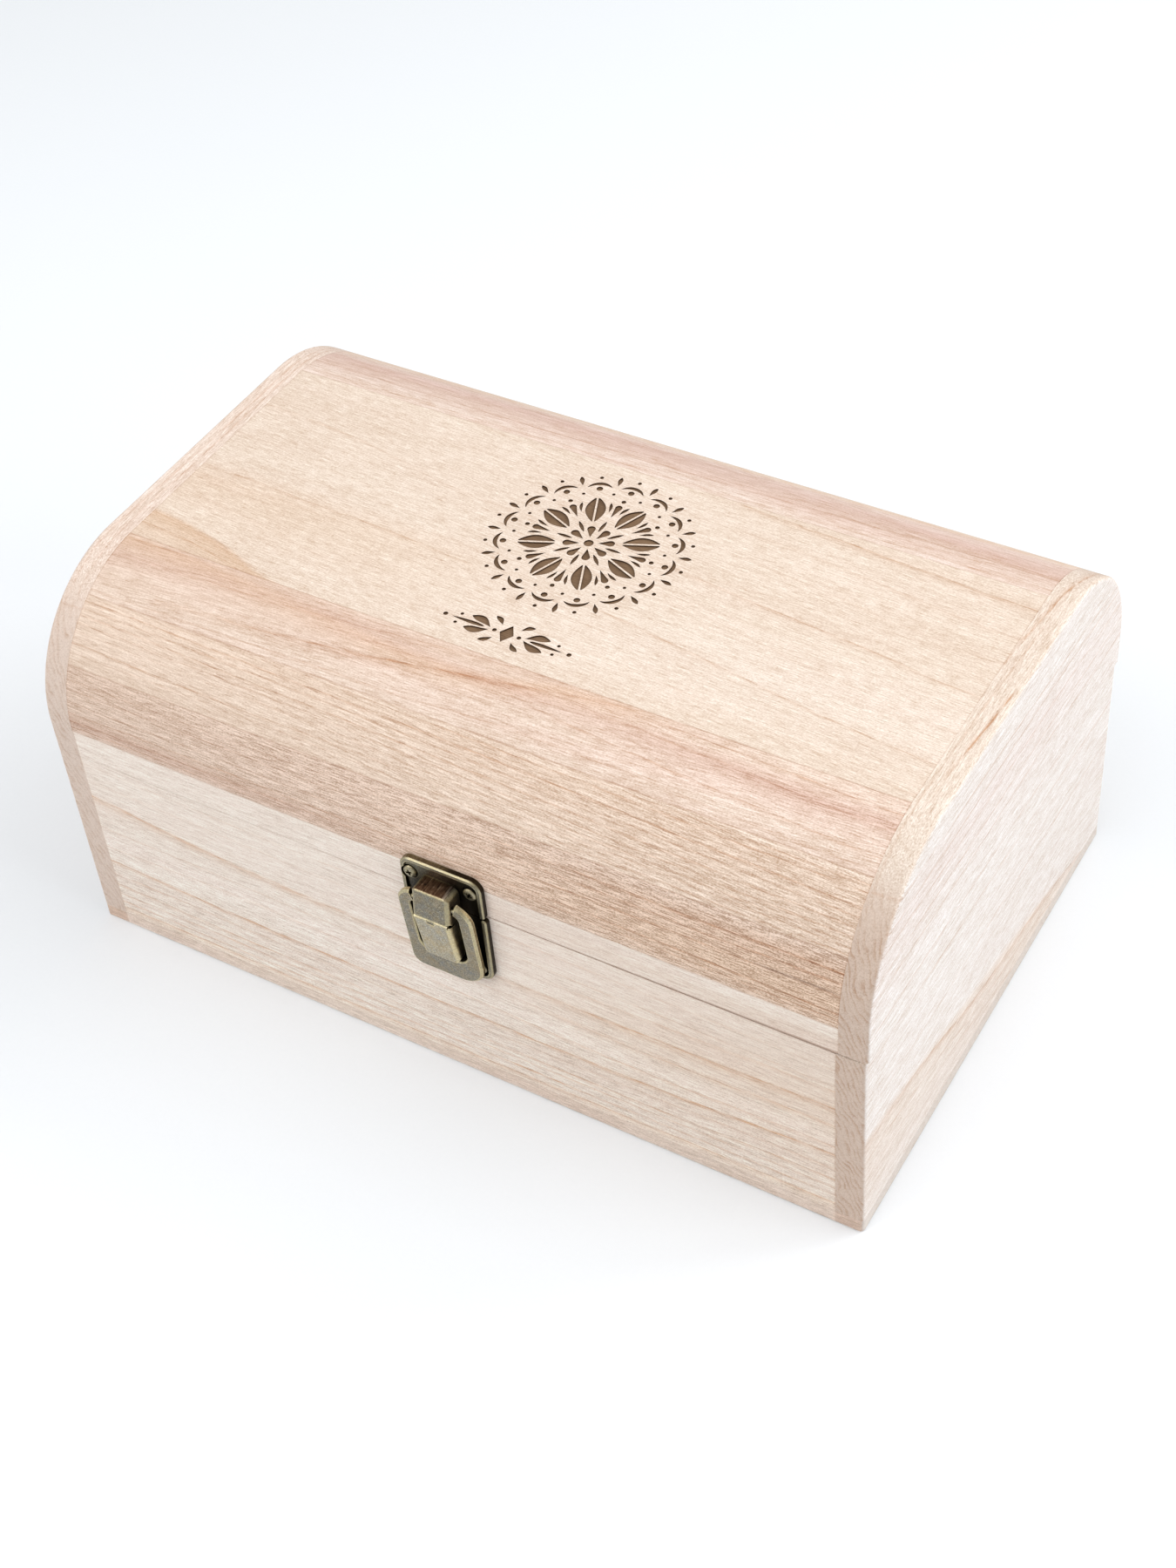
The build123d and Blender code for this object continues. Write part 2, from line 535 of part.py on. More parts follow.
# ---------------------------------------------------------------- write
nodes = {
    "base_bottom_panel": bottom,
    "base_end_left": base_end_l,
    "base_end_right": base_end_r,
    "base_front_board": base_front,
    "base_rear_board": base_rear,
    "lid_end_left": lid_end_l,
    "lid_end_right": lid_end_r,
    "lid_front_rail": lid_front_rail,
    "lid_front_stave_lower": stave_f1,
    "lid_front_stave_middle": stave_f2,
    "lid_front_stave_upper": stave_f3,
    "lid_top_board": top_board,
    "lid_rear_stave_upper": stave_r3,
    "lid_rear_stave_middle": stave_r2,
    "lid_rear_stave_lower": stave_r1,
    "lid_rear_rail": lid_rear_rail,
    "latch_upper_plate": upper_plate,
    "latch_upper_screws": upper_screws,
    "latch_lower_plate": lower_plate,
    "latch_lower_screws": lower_screws,
    "latch_tongue": tongue,
    "latch_tongue_pin": tongue_pin,
    "latch_ring": ring,
    "hinge_base_screws": Compound(children=[s.solid() for s in base_hs]),
    "hinge_lid_screws": Compound(children=[s.solid() for s in lid_hs]),
}
nodes.update(leaves)
for name, shape in nodes.items():
    save(shape, name)
print(len(nodes), "nodes")
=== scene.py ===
import bpy, bmesh, math
from mathutils import Vector, Matrix, noise
from mathutils.geometry import delaunay_2d_cdt


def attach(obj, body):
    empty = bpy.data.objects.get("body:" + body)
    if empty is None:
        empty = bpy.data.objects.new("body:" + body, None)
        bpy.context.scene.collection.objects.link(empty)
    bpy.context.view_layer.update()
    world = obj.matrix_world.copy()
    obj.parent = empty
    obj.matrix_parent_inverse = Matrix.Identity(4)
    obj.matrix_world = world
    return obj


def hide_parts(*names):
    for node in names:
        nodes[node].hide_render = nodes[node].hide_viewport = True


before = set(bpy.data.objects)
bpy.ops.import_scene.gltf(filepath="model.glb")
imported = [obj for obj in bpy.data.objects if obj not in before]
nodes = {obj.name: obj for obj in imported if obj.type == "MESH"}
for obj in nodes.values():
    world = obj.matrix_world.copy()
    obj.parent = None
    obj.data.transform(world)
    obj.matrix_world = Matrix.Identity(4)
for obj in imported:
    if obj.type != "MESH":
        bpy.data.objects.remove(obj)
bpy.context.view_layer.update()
MM = 0.001

# ------------------------------------------------------------------ camera
az, el, roll = math.radians(33.568), math.radians(44.663), math.radians(-5.232)
back = Vector((math.sin(az) * math.cos(el), -math.cos(az) * math.cos(el), math.sin(el)))
right = Vector((math.cos(az), math.sin(az), 0))
up = back.cross(right)
cr = math.cos(roll) * right + math.sin(roll) * up
cu = -math.sin(roll) * right + math.cos(roll) * up
cam_data = bpy.data.cameras.new("camera")
cam = bpy.data.objects.new("camera", cam_data)
bpy.context.scene.collection.objects.link(cam)
m = Matrix.Identity(4)
for i in range(3):
    m[i][0], m[i][1], m[i][2] = cr[i], cu[i], back[i]
m[0][3], m[1][3], m[2][3] = 0.35060, -0.52206, 0.67365
cam.matrix_world = m
cam_data.sensor_fit = "AUTO"
cam_data.sensor_width = 36.0
cam_data.lens = 56.864
cam_data.shift_x = -0.00907
cam_data.shift_y = -0.00686
cam_data.clip_start = 0.01
cam_data.clip_end = 50
bpy.context.scene.camera = cam

# ------------------------------------------------------------------ floor and light
sc = bpy.context.scene
sc.view_settings.view_transform = "Standard"
sc.view_settings.look = "None"
sc.view_settings.exposure = 0.0
sc.view_settings.gamma = 1.0

world = bpy.data.worlds.new("studio")
sc.world = world
world.use_nodes = True
wt = world.node_tree
wt.nodes["Background"].inputs["Color"].default_value = (1.0, 1.0, 1.0, 1)
wt.nodes["Background"].inputs["Strength"].default_value = 0.333

floor_mesh = bpy.data.meshes.new("floor")
bm = bmesh.new()
bmesh.ops.create_grid(bm, x_segments=2, y_segments=2, size=6.0)
bm.to_mesh(floor_mesh)
bm.free()
floor = bpy.data.objects.new("floor", floor_mesh)
sc.collection.objects.link(floor)
floor.location = (0, 0, -0.0001)


def area(name, loc, target, sx, sy, energy, color=(1, 1, 1)):
    d = bpy.data.lights.new(name, "AREA")
    d.shape = "RECTANGLE"
    d.size = sx
    d.size_y = sy
    d.energy = energy
    d.color = color
    o = bpy.data.objects.new(name, d)
    sc.collection.objects.link(o)
    o.location = loc
    o.rotation_euler = (Vector(target) - Vector(loc)).to_track_quat("-Z", "Y").to_euler()
    return o


area("right_soft", (1.6, 0.1, 0.9), (0, 0, 0.08), 1.2, 1.2, 12.9)
area("back_right_soft", (1.1, 1.3, 1.3), (0, 0, 0.08), 1.2, 1.2, 20.8)
area("top_soft", (0.0, 0.1, 2.0), (0, 0, 0.1), 1.6, 1.6, 11.3)
area("front_left_soft", (-1.2, -1.3, 1.2), (0, 0, 0.08), 1.2, 1.2, 15.6)
area("front_top_soft", (-0.3, -1.3, 1.8), (0, 0, 0.08), 1.6, 1.2, 12.3)


# ------------------------------------------------------------------ node helper
class G:
    """A short way to write shader node graphs."""

    def __init__(self, name):
        self.mat = bpy.data.materials.new(name)
        self.mat.use_nodes = True
        self.t = self.mat.node_tree
        self.t.nodes.clear()
        self.out = self.t.nodes.new("ShaderNodeOutputMaterial")
        self.bsdf = self.t.nodes.new("ShaderNodeBsdfPrincipled")
        self.t.links.new(self.bsdf.outputs["BSDF"], self.out.inputs["Surface"])
        self.tc = self.t.nodes.new("ShaderNodeTexCoord")

    def put(self, socket, v):
        if isinstance(v, bpy.types.NodeSocket):
            self.t.links.new(v, socket)
        elif v is not None:
            socket.default_value = v

    def math(self, op, a, b=None, c=None, clamp=False):
        n = self.t.nodes.new("ShaderNodeMath")
        n.operation = op
        n.use_clamp = clamp
        self.put(n.inputs[0], a)
        if b is not None:
            self.put(n.inputs[1], b)
        if c is not None:
            self.put(n.inputs[2], c)
        return n.outputs[0]

    def add(self, a, b): return self.math("ADD", a, b)
    def sub(self, a, b): return self.math("SUBTRACT", a, b)
    def mul(self, a, b): return self.math("MULTIPLY", a, b)
    def mad(self, a, b, c): return self.math("MULTIPLY_ADD", a, b, c)
    def maxi(self, a, b): return self.math("MAXIMUM", a, b)
    def mini(self, a, b): return self.math("MINIMUM", a, b)

    def vec(self, x, y, z):
        n = self.t.nodes.new("ShaderNodeCombineXYZ")
        for i, v in enumerate((x, y, z)):
            self.put(n.inputs[i], v)
        return n.outputs[0]

    def split(self, v):
        n = self.t.nodes.new("ShaderNodeSeparateXYZ")
        self.put(n.inputs[0], v)
        return n.outputs

    def noise(self, v, scale=1.0, detail=2.0, rough=0.5, lac=2.0, dist=0.0):
        n = self.t.nodes.new("ShaderNodeTexNoise")
        n.noise_dimensions = "3D"
        self.put(n.inputs["Vector"], v)
        n.inputs["Scale"].default_value = scale
        n.inputs["Detail"].default_value = detail
        n.inputs["Roughness"].default_value = rough
        n.inputs["Lacunarity"].default_value = lac
        n.inputs["Distortion"].default_value = dist
        return n.outputs["Fac"]

    def noise1(self, x, seed, scale=1.0, detail=1.0):
        return self.noise(self.vec(x, seed, seed * 0.37), scale, detail)

    def voronoi(self, v, scale=1.0, feature="F1", rand=1.0):
        n = self.t.nodes.new("ShaderNodeTexVoronoi")
        n.feature = feature
        self.put(n.inputs["Vector"], v)
        n.inputs["Scale"].default_value = scale
        n.inputs["Randomness"].default_value = rand
        return n.outputs["Distance"]

    def map(self, v, a, b, c=0.0, d=1.0, smooth=False):
        n = self.t.nodes.new("ShaderNodeMapRange")
        n.interpolation_type = "SMOOTHSTEP" if smooth else "LINEAR"
        n.clamp = True
        self.put(n.inputs["Value"], v)
        for k, x in zip(("From Min", "From Max", "To Min", "To Max"), (a, b, c, d)):
            self.put(n.inputs[k], x)
        return n.outputs["Result"]

    def ramp(self, v, stops, interp="LINEAR"):
        n = self.t.nodes.new("ShaderNodeValToRGB")
        n.color_ramp.interpolation = interp
        els = n.color_ramp.elements
        while len(els) > 1:
            els.remove(els[-1])
        els[0].position, els[0].color = stops[0][0], (*stops[0][1], 1)
        for p, c in stops[1:]:
            e = els.new(p)
            e.color = (*c, 1)
        self.put(n.inputs[0], v)
        return n.outputs[0]

    def curve(self, v, pts, lo, hi, base=0.0, gain=1.0):
        """A smooth function of v through pts (v, f): v runs over lo..hi, f comes back as base + gain * (0..1)."""
        n = self.t.nodes.new("ShaderNodeFloatCurve")
        c = n.mapping.curves[0]
        n.mapping.use_clip = False
        ps = [((p[0] - lo) / (hi - lo), (p[1] - base) / gain) for p in pts]
        if ps[0][0] > 0:
            ps.insert(0, (0.0, ps[0][1]))
        if ps[-1][0] < 1:
            ps.append((1.0, ps[-1][1]))
        c.points[0].location, c.points[1].location = ps[0], ps[-1]
        for p in ps[1:-1]:
            c.points.new(*p)
        n.mapping.update()
        self.put(n.inputs["Value"], self.map(v, lo, hi))
        return self.mad(n.outputs[0], gain, base)

    def mix(self, f, a, b, kind="MIX"):
        n = self.t.nodes.new("ShaderNodeMix")
        n.data_type = "RGBA"
        n.blend_type = kind
        n.clamp_factor = True
        self.put(n.inputs[0], f)
        for s, v in ((n.inputs[6], a), (n.inputs[7], b)):
            self.put(s, (*v, 1) if isinstance(v, tuple) and len(v) == 3 else v)
        return n.outputs[2]

    def bump(self, h, strength, dist, normal=None):
        n = self.t.nodes.new("ShaderNodeBump")
        n.inputs["Strength"].default_value = strength
        n.inputs["Distance"].default_value = dist
        self.put(n.inputs["Height"], h)
        if normal is not None:
            self.put(n.inputs["Normal"], normal)
        return n.outputs[0]


# ------------------------------------------------------------------ wood
def lin(c):
    c /= 255.0
    return c / 12.92 if c <= 0.04045 else ((c + 0.055) / 1.055) ** 2.4


def srgb(r, g, b):
    return (lin(r), lin(g), lin(b))


def tone(rgb, k, warm=0.0):
    """rgb scaled by k; warm > 0 takes more off the blue, so shade in wood goes orange-brown."""
    r, g, b = rgb
    return (min(r * k ** (1 - 0.45 * warm), 0.95), min(g * k, 0.95), min(b * k ** (1 + 0.45 * warm), 0.95))


U0, U1 = -160.0, 160.0


def marking(g, u, v, up, down, pts, power=1.4, core=0.0):
    """One growth line or band: pts are (u, v, strength); it is sharp where up is small and fades over down."""
    lo, hi = U0, U1
    vc = g.curve(u, [(p[0], p[1]) for p in pts], lo, hi, pts[0][1] - 30.0, 60.0)
    kc = g.curve(u, [(p[0], p[2]) for p in pts], lo, hi, 0.0, 1.0)
    dv = g.sub(v, vc)
    mk = g.mul(g.map(dv, 0.0, up, 1, 0), g.map(dv, -down, 0.0, 0, 1))
    if power != 1.0:
        mk = g.math("POWER", mk, power)
    if core:
        mk = g.maxi(g.mul(mk, 1.0 - 0.5 * core), g.map(g.math("ABSOLUTE", g.add(dv, 0.15)), 0.10, 0.50, 1, 0, True))
    return g.mul(mk, g.math("MAXIMUM", kc, 0.0))


def wood(name, run, base, seed, slope=0.0, lines=(), shades=(), tints=(), fine=1.0, streak=1.0, band=1.0, cloud=1.0,
         pores=1.0, ring=0.0, ring_gap=9.0, wave=1.0, ripple=0.0, mauve=0.25, line_k=1.0, grow=0.0, warm=1.6,
         end=(0.84, 0.80, 0.78), end_ring=1.0, vmin=None, vmax=None, ends=None, glue=1.0, rough=0.60,
         depth_tilt=0.35, engraved=False, xlines=(), side=None, calm=None, corner=None, rims=(), line_rgb=(0.71, 0.51, 0.36)):
    """Sanded, unfinished wood. run: front/rear/top/panel/arc_f/arc_r = grain along X, end = grain along Y.
    u is along the grain, v across it over the surface, w into the board, all in millimetres.
    The board's own colour is base; d (0..1, 0.35 = base) moves it to the pale or the dark side."""
    g = G(name)
    x, y, z = g.split(g.tc.outputs["Object"])
    X, Y, Z = g.mul(x, 1000.0), g.mul(y, 1000.0), g.mul(z, 1000.0)
    nx, ny, nz = g.split(g.tc.outputs["Normal"])
    if run in ("front", "rear"):
        u, v, w, nu = X, Z, (Y if run == "rear" else g.mul(Y, -1.0)), nx
    elif run in ("top", "panel"):
        u, v, w, nu = X, (g.add(Y, 228.54) if run == "top" else Y), Z, nx
    elif run == "end":
        u, v, w, nu = Y, Z, X, ny
    else:
        sgn = 1.0 if run == "arc_r" else -1.0
        cy = g.sub(g.mul(Y, sgn), 50.0)
        cz = g.sub(Z, 100.0)
        ang = g.math("ARCTAN2", cz, cy)
        rad = g.math("SQRT", g.add(g.mul(cy, cy), g.mul(cz, cz)))
        low = g.math("LESS_THAN", cz, 0.0)
        s = g.add(g.mul(low, g.add(cz, 100.0)), g.mul(g.sub(1.0, low), g.mad(ang, 50.0, 100.0)))
        u, v, w, nu = X, s, rad, nx

    # the grain wanders: long swings, then small ones
    n1 = g.noise(g.vec(g.mul(u, 1 / 120.0), g.mul(v, 1 / 45.0), g.mad(w, 1 / 60.0, seed)), 1.0, 1.0)
    n2 = g.noise(g.vec(g.mul(u, 1 / 24.0), g.mul(v, 1 / 10.0), g.mad(w, 1 / 14.0, seed + 3.1)), 1.0, 2.0)
    wander = g.mad(g.sub(n1, 0.5), 4.5 * wave, g.mul(g.sub(n2, 0.5), 1.5 * wave))
    vb = g.add(v, wander)
    vs = g.mad(u, slope, vb)
    vw = g.mad(w, depth_tilt, vs)

    def grain(lu, lv, k, detail, rough_):
        return g.noise(g.vec(g.mul(u, 1.0 / lu), g.mul(vs, 1.0 / lv), g.mad(w, 0.9 / lv, seed + k)), 1.0, detail, rough_)

    f1 = grain(5.5, 0.34, 1.0, 2.0, 0.65)
    f2 = grain(22.0, 0.85, 7.0, 3.0, 0.62)
    f3 = grain(70.0, 2.8, 13.0, 2.0, 0.55)
    f4 = grain(150.0, 10.0, 19.0, 2.0, 0.5)
    sp = g.noise(g.vec(g.mul(u, 1 / 0.75), g.mul(v, 1 / 0.42), g.mad(w, 1 / 0.42, seed + 25)), 1.0, 1.0, 0.6)
    cl = g.noise(g.vec(g.mul(u, 1 / 20.0), g.mul(vs, 1 / 7.0), g.mad(w, 1 / 12.0, seed + 27)), 1.0, 3.0, 0.6)
    pn = g.noise(g.vec(g.mul(u, 1 / 3.2), g.mul(vs, 1 / 0.24), g.mad(w, 1 / 0.30, seed + 33)), 1.0, 1.0, 0.5)
    dens = g.noise(g.vec(g.mul(u, 1 / 55.0), g.mul(vs, 1 / 2.4), g.mad(w, 1 / 4.0, seed + 37)), 1.0, 2.0)
    brk = g.map(g.noise(g.vec(g.mul(u, 1 / 11.0), g.mul(vs, 1 / 0.9), g.mad(w, 1 / 2.0, seed + 39)), 1.0, 2.0, 0.6), 0.34, 0.64, 0.15, 1.25)

    amp = g.map(X, -150.0, 150.0, 1.0, 1.0 + grow) if grow else 1.0
    if calm:
        amp = g.map(v, calm[0], calm[1], calm[2], calm[3], True)
    d = g.mul(g.sub(f1, 0.5), g.mul(amp, 1.36 * fine))
    d = g.mad(g.sub(sp, 0.5), g.mul(amp, 0.80 * fine), d)
    d = g.mad(g.sub(f2, 0.5), 0.54 * streak, d)
    d = g.mad(g.sub(f3, 0.5), 0.24 * band, d)
    d = g.mad(g.sub(f4, 0.5), 0.20 * band, d)
    d = g.mad(g.sub(cl, 0.5), 0.20 * cloud, d)
    if ripple:
        rp = g.noise(g.vec(g.mul(u, 1 / 2.2), g.mul(v, 1 / 6.0), seed + 55), 1.0, 2.0, 0.55)
        d = g.mad(g.sub(rp, 0.5), 0.20 * ripple, d)
    d = g.add(d, 0.5)
    col = g.ramp(d, [(0.0, tone(base, 1.40, 0.6 * warm)), (0.5, base), (1.0, tone(base, 0.58, warm))])

    # broad bands of darker wood, then growth lines, both turning it orange-brown
    for up, down, pts in shades:
        col = g.mix(marking(g, u, vb, up, down, pts, 1.0), col, g.mix(1.0, col, (0.80, 0.69, 0.60), "MULTIPLY"))
    near = None
    if ring:
        rp = g.add(g.mul(vw, 1.0 / ring_gap), g.mul(g.noise1(g.mul(vw, 1 / 19.0), seed + 41), 1.7))
        fr = g.math("FRACT", rp)
        late = g.mul(g.map(fr, 0.40, 0.94, 0, 1, True), g.map(fr, 0.94, 1.0, 1, 0))
        on = g.map(g.noise(g.vec(g.mul(u, 1 / 60.0), g.mul(vw, 1 / 9.0), seed + 43), 1.0, 1.0), 0.35, 0.65, 0.10, 1.0)
        near = g.mul(g.mul(late, on), ring)
    for up, down, pts in lines:
        mk = marking(g, u, vb, up, down, pts, 1.4, 0.55)
        near = mk if near is None else g.math("MAXIMUM", near, mk)
    for up, down, pts in xlines:
        # lines on a board's top edge: they run along u and are placed by x
        mk = g.mul(marking(g, u, g.mad(g.sub(n2, 0.5), 1.2, X), up, down, pts, 1.4, 0.4), g.map(nz, 0.35, 0.7, 0, 1, True))
        near = mk if near is None else g.math("MAXIMUM", near, mk)
    if near is not None:
        col = g.mix(g.math("MULTIPLY", g.mul(near, brk), line_k, clamp=True), col, g.mix(1.0, col, line_rgb, "MULTIPLY"))

    # hue wander: rosier in places
    hue = g.noise(g.vec(g.mul(u, 1 / 75.0), g.mul(vs, 1 / 7.0), g.mad(w, 1 / 12.0, seed + 61)), 1.0, 2.0)
    col = g.mix(g.map(hue, 0.40, 0.78, 0.0, mauve), col, g.mix(1.0, col, (0.96, 0.87, 0.87), "MULTIPLY"))
    for rgb, up, down, pts in tints:
        col = g.mix(marking(g, u, vb, up, down, pts, 1.0), col, g.mix(1.0, col, rgb, "MULTIPLY"))

    # vessels: short dark dashes, closer together along the growth lines
    pd = g.map(dens, 0.35, 0.70, 0.15, 0.75)
    if near is not None:
        pd = g.math("ADD", pd, g.mul(near, 1.3), clamp=True)
    pm = g.mul(g.map(pn, 0.58, 0.70), g.mul(pd, 0.60 * pores))
    col = g.mix(pm, col, g.mix(1.0, col, (0.64, 0.50, 0.41), "MULTIPLY"))

    # end grain: darker and greyer, stippled with open pores, ring lines run across it
    ep = g.noise(g.vec(g.mul(u, 1 / 3.0), g.mul(v, 1 / 0.50), g.mad(w, 1 / 0.50, seed + 71)), 1.0, 2.0, 0.65)
    ef2 = g.noise(g.vec(g.mul(u, 1 / 9.0), g.mul(v, 1 / 5.0), g.mad(w, 1 / 4.0, seed + 73)), 1.0, 3.0, 0.6)
    rp2 = g.add(g.mul(g.mad(w, depth_tilt, v), 1.0 / 5.2), g.mul(g.noise(g.vec(seed, g.mul(v, 1 / 16.0), g.mul(w, 1 / 9.0)), 1.0, 2.0), 5.0))
    fr2 = g.math("FRACT", rp2)
    er = g.mul(g.map(fr2, 0.30, 0.92, 0, 1, True), g.map(fr2, 0.92, 1.0, 1, 0))
    er = g.mul(er, g.map(ef2, 0.35, 0.68, 0.1, 1.0))
    ec = g.mix(1.0, tone(base, 1.0), end, "MULTIPLY")
    ec = g.mix(g.mul(er, 0.55 * end_ring), ec, g.mix(1.0, ec, (0.80, 0.68, 0.58), "MULTIPLY"))
    ec = g.mix(g.map(ef2, 0.35, 0.70, 0.0, 0.5), ec, g.mix(1.0, ec, (0.90, 0.86, 0.84), "MULTIPLY"))
    ec = g.mix(g.map(ep, 0.50, 0.66, 0.0, 0.50), ec, g.mix(1.0, ec, (0.70, 0.64, 0.60), "MULTIPLY"))
    ec = g.mix(g.map(ep, 0.44, 0.30, 0.0, 0.35), ec, tone(base, 1.0))
    ef = g.map(g.math("ABSOLUTE", nu), 0.35, 0.85, 0, 1, True)
    col = g.mix(ef, col, ec)
    if side is not None:
        # painted light: the broad outer face is painted paler and cooler than the board's edges, a wash of light on the
        # right end's lit face
        col = g.mix(g.map(g.math("ABSOLUTE", nx), 0.55, 0.95, 0, 1, True), col, g.mix(1.0, col, side, "MULTIPLY"))

    if corner is not None:
        cm = g.mul(g.map(g.math("ABSOLUTE", X), 144.7, 145.2, 0, 1), g.map(g.math("ABSOLUTE", ny), 0.5, 0.9, 0, 1, True))
        col = g.mix(cm, col, g.mix(1.0, col, corner, "MULTIPLY"))

    for rgb, up, down, pts in rims:
        # placed by height, free of the grain's wander
        col = g.mix(marking(g, u, v, up, down, pts, 1.0), col, g.mix(1.0, col, rgb, "MULTIPLY"))

    # hairline of glue and dust where a board meets its neighbour
    edge = None
    for q, c in ((vmin, v), (vmax, v)) + tuple((e, u) for e in (ends or ())):
        if q is None:
            continue
        e2 = g.map(g.math("ABSOLUTE", g.sub(c, q)), 0.10, 0.50, 1, 0)
        edge = e2 if edge is None else g.maxi(edge, e2)
    if edge is not None and glue:
        en = g.noise(g.vec(g.mul(u, 1 / 9.0), g.mul(v, 1 / 9.0), seed + 83), 1.0, 2.0)
        col = g.mix(g.mul(edge, g.map(en, 0.3, 0.7, 0.20 * glue, 0.60 * glue)), col, g.mix(1.0, col, (0.62, 0.46, 0.36), "MULTIPLY"))

    h = g.mad(f1, 0.6, g.mul(g.map(pn, 0.58, 0.72), g.mul(pd, -0.9)))
    h = g.mad(ep, g.mul(ef, 1.4), h)
    h = g.mad(f2, 0.4, h)
    nrm = g.bump(h, 0.35, 0.00016)

    if engraved:
        # a cut below the face is scorched brown on its floor, with faint scan lines; its walls are darker still, partly
        # scorch and partly painted shade
        zc = g.sub(150.0, Z)
        burn = g.mul(g.map(zc, 0.06, 0.16, 0, 1), g.map(zc, 2.0, 2.4, 1, 0))
        burn = g.mul(burn, g.map(g.math("ABSOLUTE", X), 90.0, 92.0, 1, 0))
        burn = g.mul(burn, g.map(g.math("ABSOLUTE", Y), 49.6, 49.8, 1, 0))
        soot = g.noise(g.vec(g.mul(X, 1 / 3.0), g.mul(Y, 1 / 0.6), seed + 91), 1.0, 3.0, 0.6)
        big = g.noise(g.vec(g.mul(X, 1 / 9.0), g.mul(Y, 1 / 9.0), seed + 93), 1.0, 1.0)
        scan = g.math("PINGPONG", g.mul(Y, 1 / 0.40), 1.0)
        q = g.mad(soot, 0.55, g.mad(big, 0.45, g.mul(scan, 0.10)))
        bc = g.ramp(q, [(0.25, srgb(82, 60, 42)), (0.52, srgb(112, 87, 64)), (0.85, srgb(140, 114, 88))])
        # painted shade on the cut's walls, together with scorch
        wall = g.map(g.math("ABSOLUTE", nz), 0.3, 0.9, 1, 0)
        bc = g.mix(wall, bc, srgb(66, 45, 28))
        col = g.mix(burn, col, bc)

    g.put(g.bsdf.inputs["Base Color"], col)
    g.put(g.bsdf.inputs["Roughness"], g.map(g.add(f1, f3), 0.6, 1.4, rough - 0.06, rough + 0.08))
    g.bsdf.inputs["Specular IOR Level"].default_value = 0.30
    g.put(g.bsdf.inputs["Normal"], nrm)
    return g.mat


def assign(node, mat):
    o = nodes[node] if isinstance(node, str) else node
    o.data.materials.clear()
    o.data.materials.append(mat)
    return o


def lit(r, g_, b, e):
    """The board colour that shows as (r, g_, b) under e units of light, less the sheen's share."""
    return tuple(max(0.0, (lin(c) - 0.012) / e) for c in (r, g_, b))


X0, X1, X1L = -145.0, 145.0, 145.9
PINK, ORANGE, MAUVE, GREY, PALE = (0.97, 0.90, 0.89), (0.99, 0.91, 0.82), (0.93, 0.85, 0.86), (0.90, 0.90, 0.90), (1.06, 1.07, 1.09)

# the front board and the lid's front rail are one board, cut by the seam
F_LINES = [
    (1.2, 4.5, [(-145, 67.2, .75), (-115, 63.8, .70), (-85, 60.8, .60), (-60, 59.6, .62), (-30, 58.6, .45), (20, 57.8, .35), (60, 58.0, .60), (100, 58.6, .70), (145, 59.6, .60)]),
    (0.8, 2.6, [(-145, 34.0, .70), (-110, 32.6, .80), (-80, 32.0, .95), (-40, 31.6, .85), (0, 31.6, .80), (50, 32.0, .85), (90, 33.2, .95), (145, 35.8, .75)]),
    (0.5, 1.8, [(-145, 27.0, .35), (0, 26.0, .20), (145, 28.6, .30)]),
    (0.5, 2.2, [(-145, 21.6, .45), (-90, 20.0, .55), (0, 20.6, .30), (60, 21.0, .55), (145, 23.0, .50)]),
    (0.5, 1.6, [(-145, 16.5, .35), (-60, 16.4, .50), (0, 17.2, .40), (145, 18.6, .40)]),
    (0.5, 1.5, [(-145, 12.4, .45), (-60, 12.4, .45), (15, 13.4, .45), (26, 13.5, .95), (44, 13.6, .95), (54, 13.6, .45), (145, 14.6, .55)]),
    (0.5, 1.8, [(-145, 9.2, .55), (-60, 9.0, .55), (60, 9.6, .50), (145, 10.4, .60)]),
    (0.5, 1.4, [(-145, 83.0, .12), (-40, 81.0, .18), (60, 80.0, .20), (145, 79.0, .12)]),
    (0.5, 1.4, [(-145, 75.0, .12), (-40, 73.0, .16), (60, 72.0, .24), (145, 71.0, .20)]),
    (0.5, 1.4, [(-145, 52.0, .20), (0, 50.0, .20), (145, 51.0, .25)]),
    (0.5, 2.4, [(-145, 42.0, .20), (-80, 44.0, .22), (60, 39.0, .38), (145, 40.0, .40)]),
    (0.8, 3.0, [(0, 50.0, .0), (60, 49.0, .35), (145, 50.5, .50)]),
    (0.6, 2.6, [(20, 66.0, .0), (70, 66.4, .30), (145, 68.6, .45)]),
]
# painted shade: a dark line along the gap between lid and base, darker towards the right where the gap opens
SEAM_SHADE = [((0.42, 0.27, 0.20), 1.1, 0.5, [(-145, 86.6, .10), (-20, 86.6, .12), (40, 86.7, .40), (100, 86.9, .75), (145, 87.2, 1.0)])]
F_SHADES = [
    (8.0, 26.0, [(-145, 31.0, .12), (0, 30.0, .16), (145, 32.0, .20)]),
    (2.0, 12.0, [(-145, 66.0, .22), (-100, 62.0, .16), (-60, 59.0, .10), (60, 57.5, .12), (145, 59.0, .16)]),
    (16.0, 90.0, [(-20, 80.0, 0.0), (40, 80.0, .16), (100, 80.0, .36), (145, 80.0, .44)]),
    (8.0, 9.0, [(-145, 92.0, 0.0), (0, 92.0, 0.0), (26, 92.0, .30), (100, 92.0, .36), (145, 92.0, .40)]),
]
F_TINTS = [(PALE, 5.0, 5.0, [(-145, 45.0, .5), (-20, 43.0, .7), (60, 42.0, .5), (145, 43.0, .5)]),
           (ORANGE, 3.0, 5.0, [(-145, 8.0, .5), (145, 9.0, .5)]),
           (ORANGE, 16.0, 60.0, [(0, 60.0, 0.0), (60, 60.0, .2), (145, 60.0, .30)])]
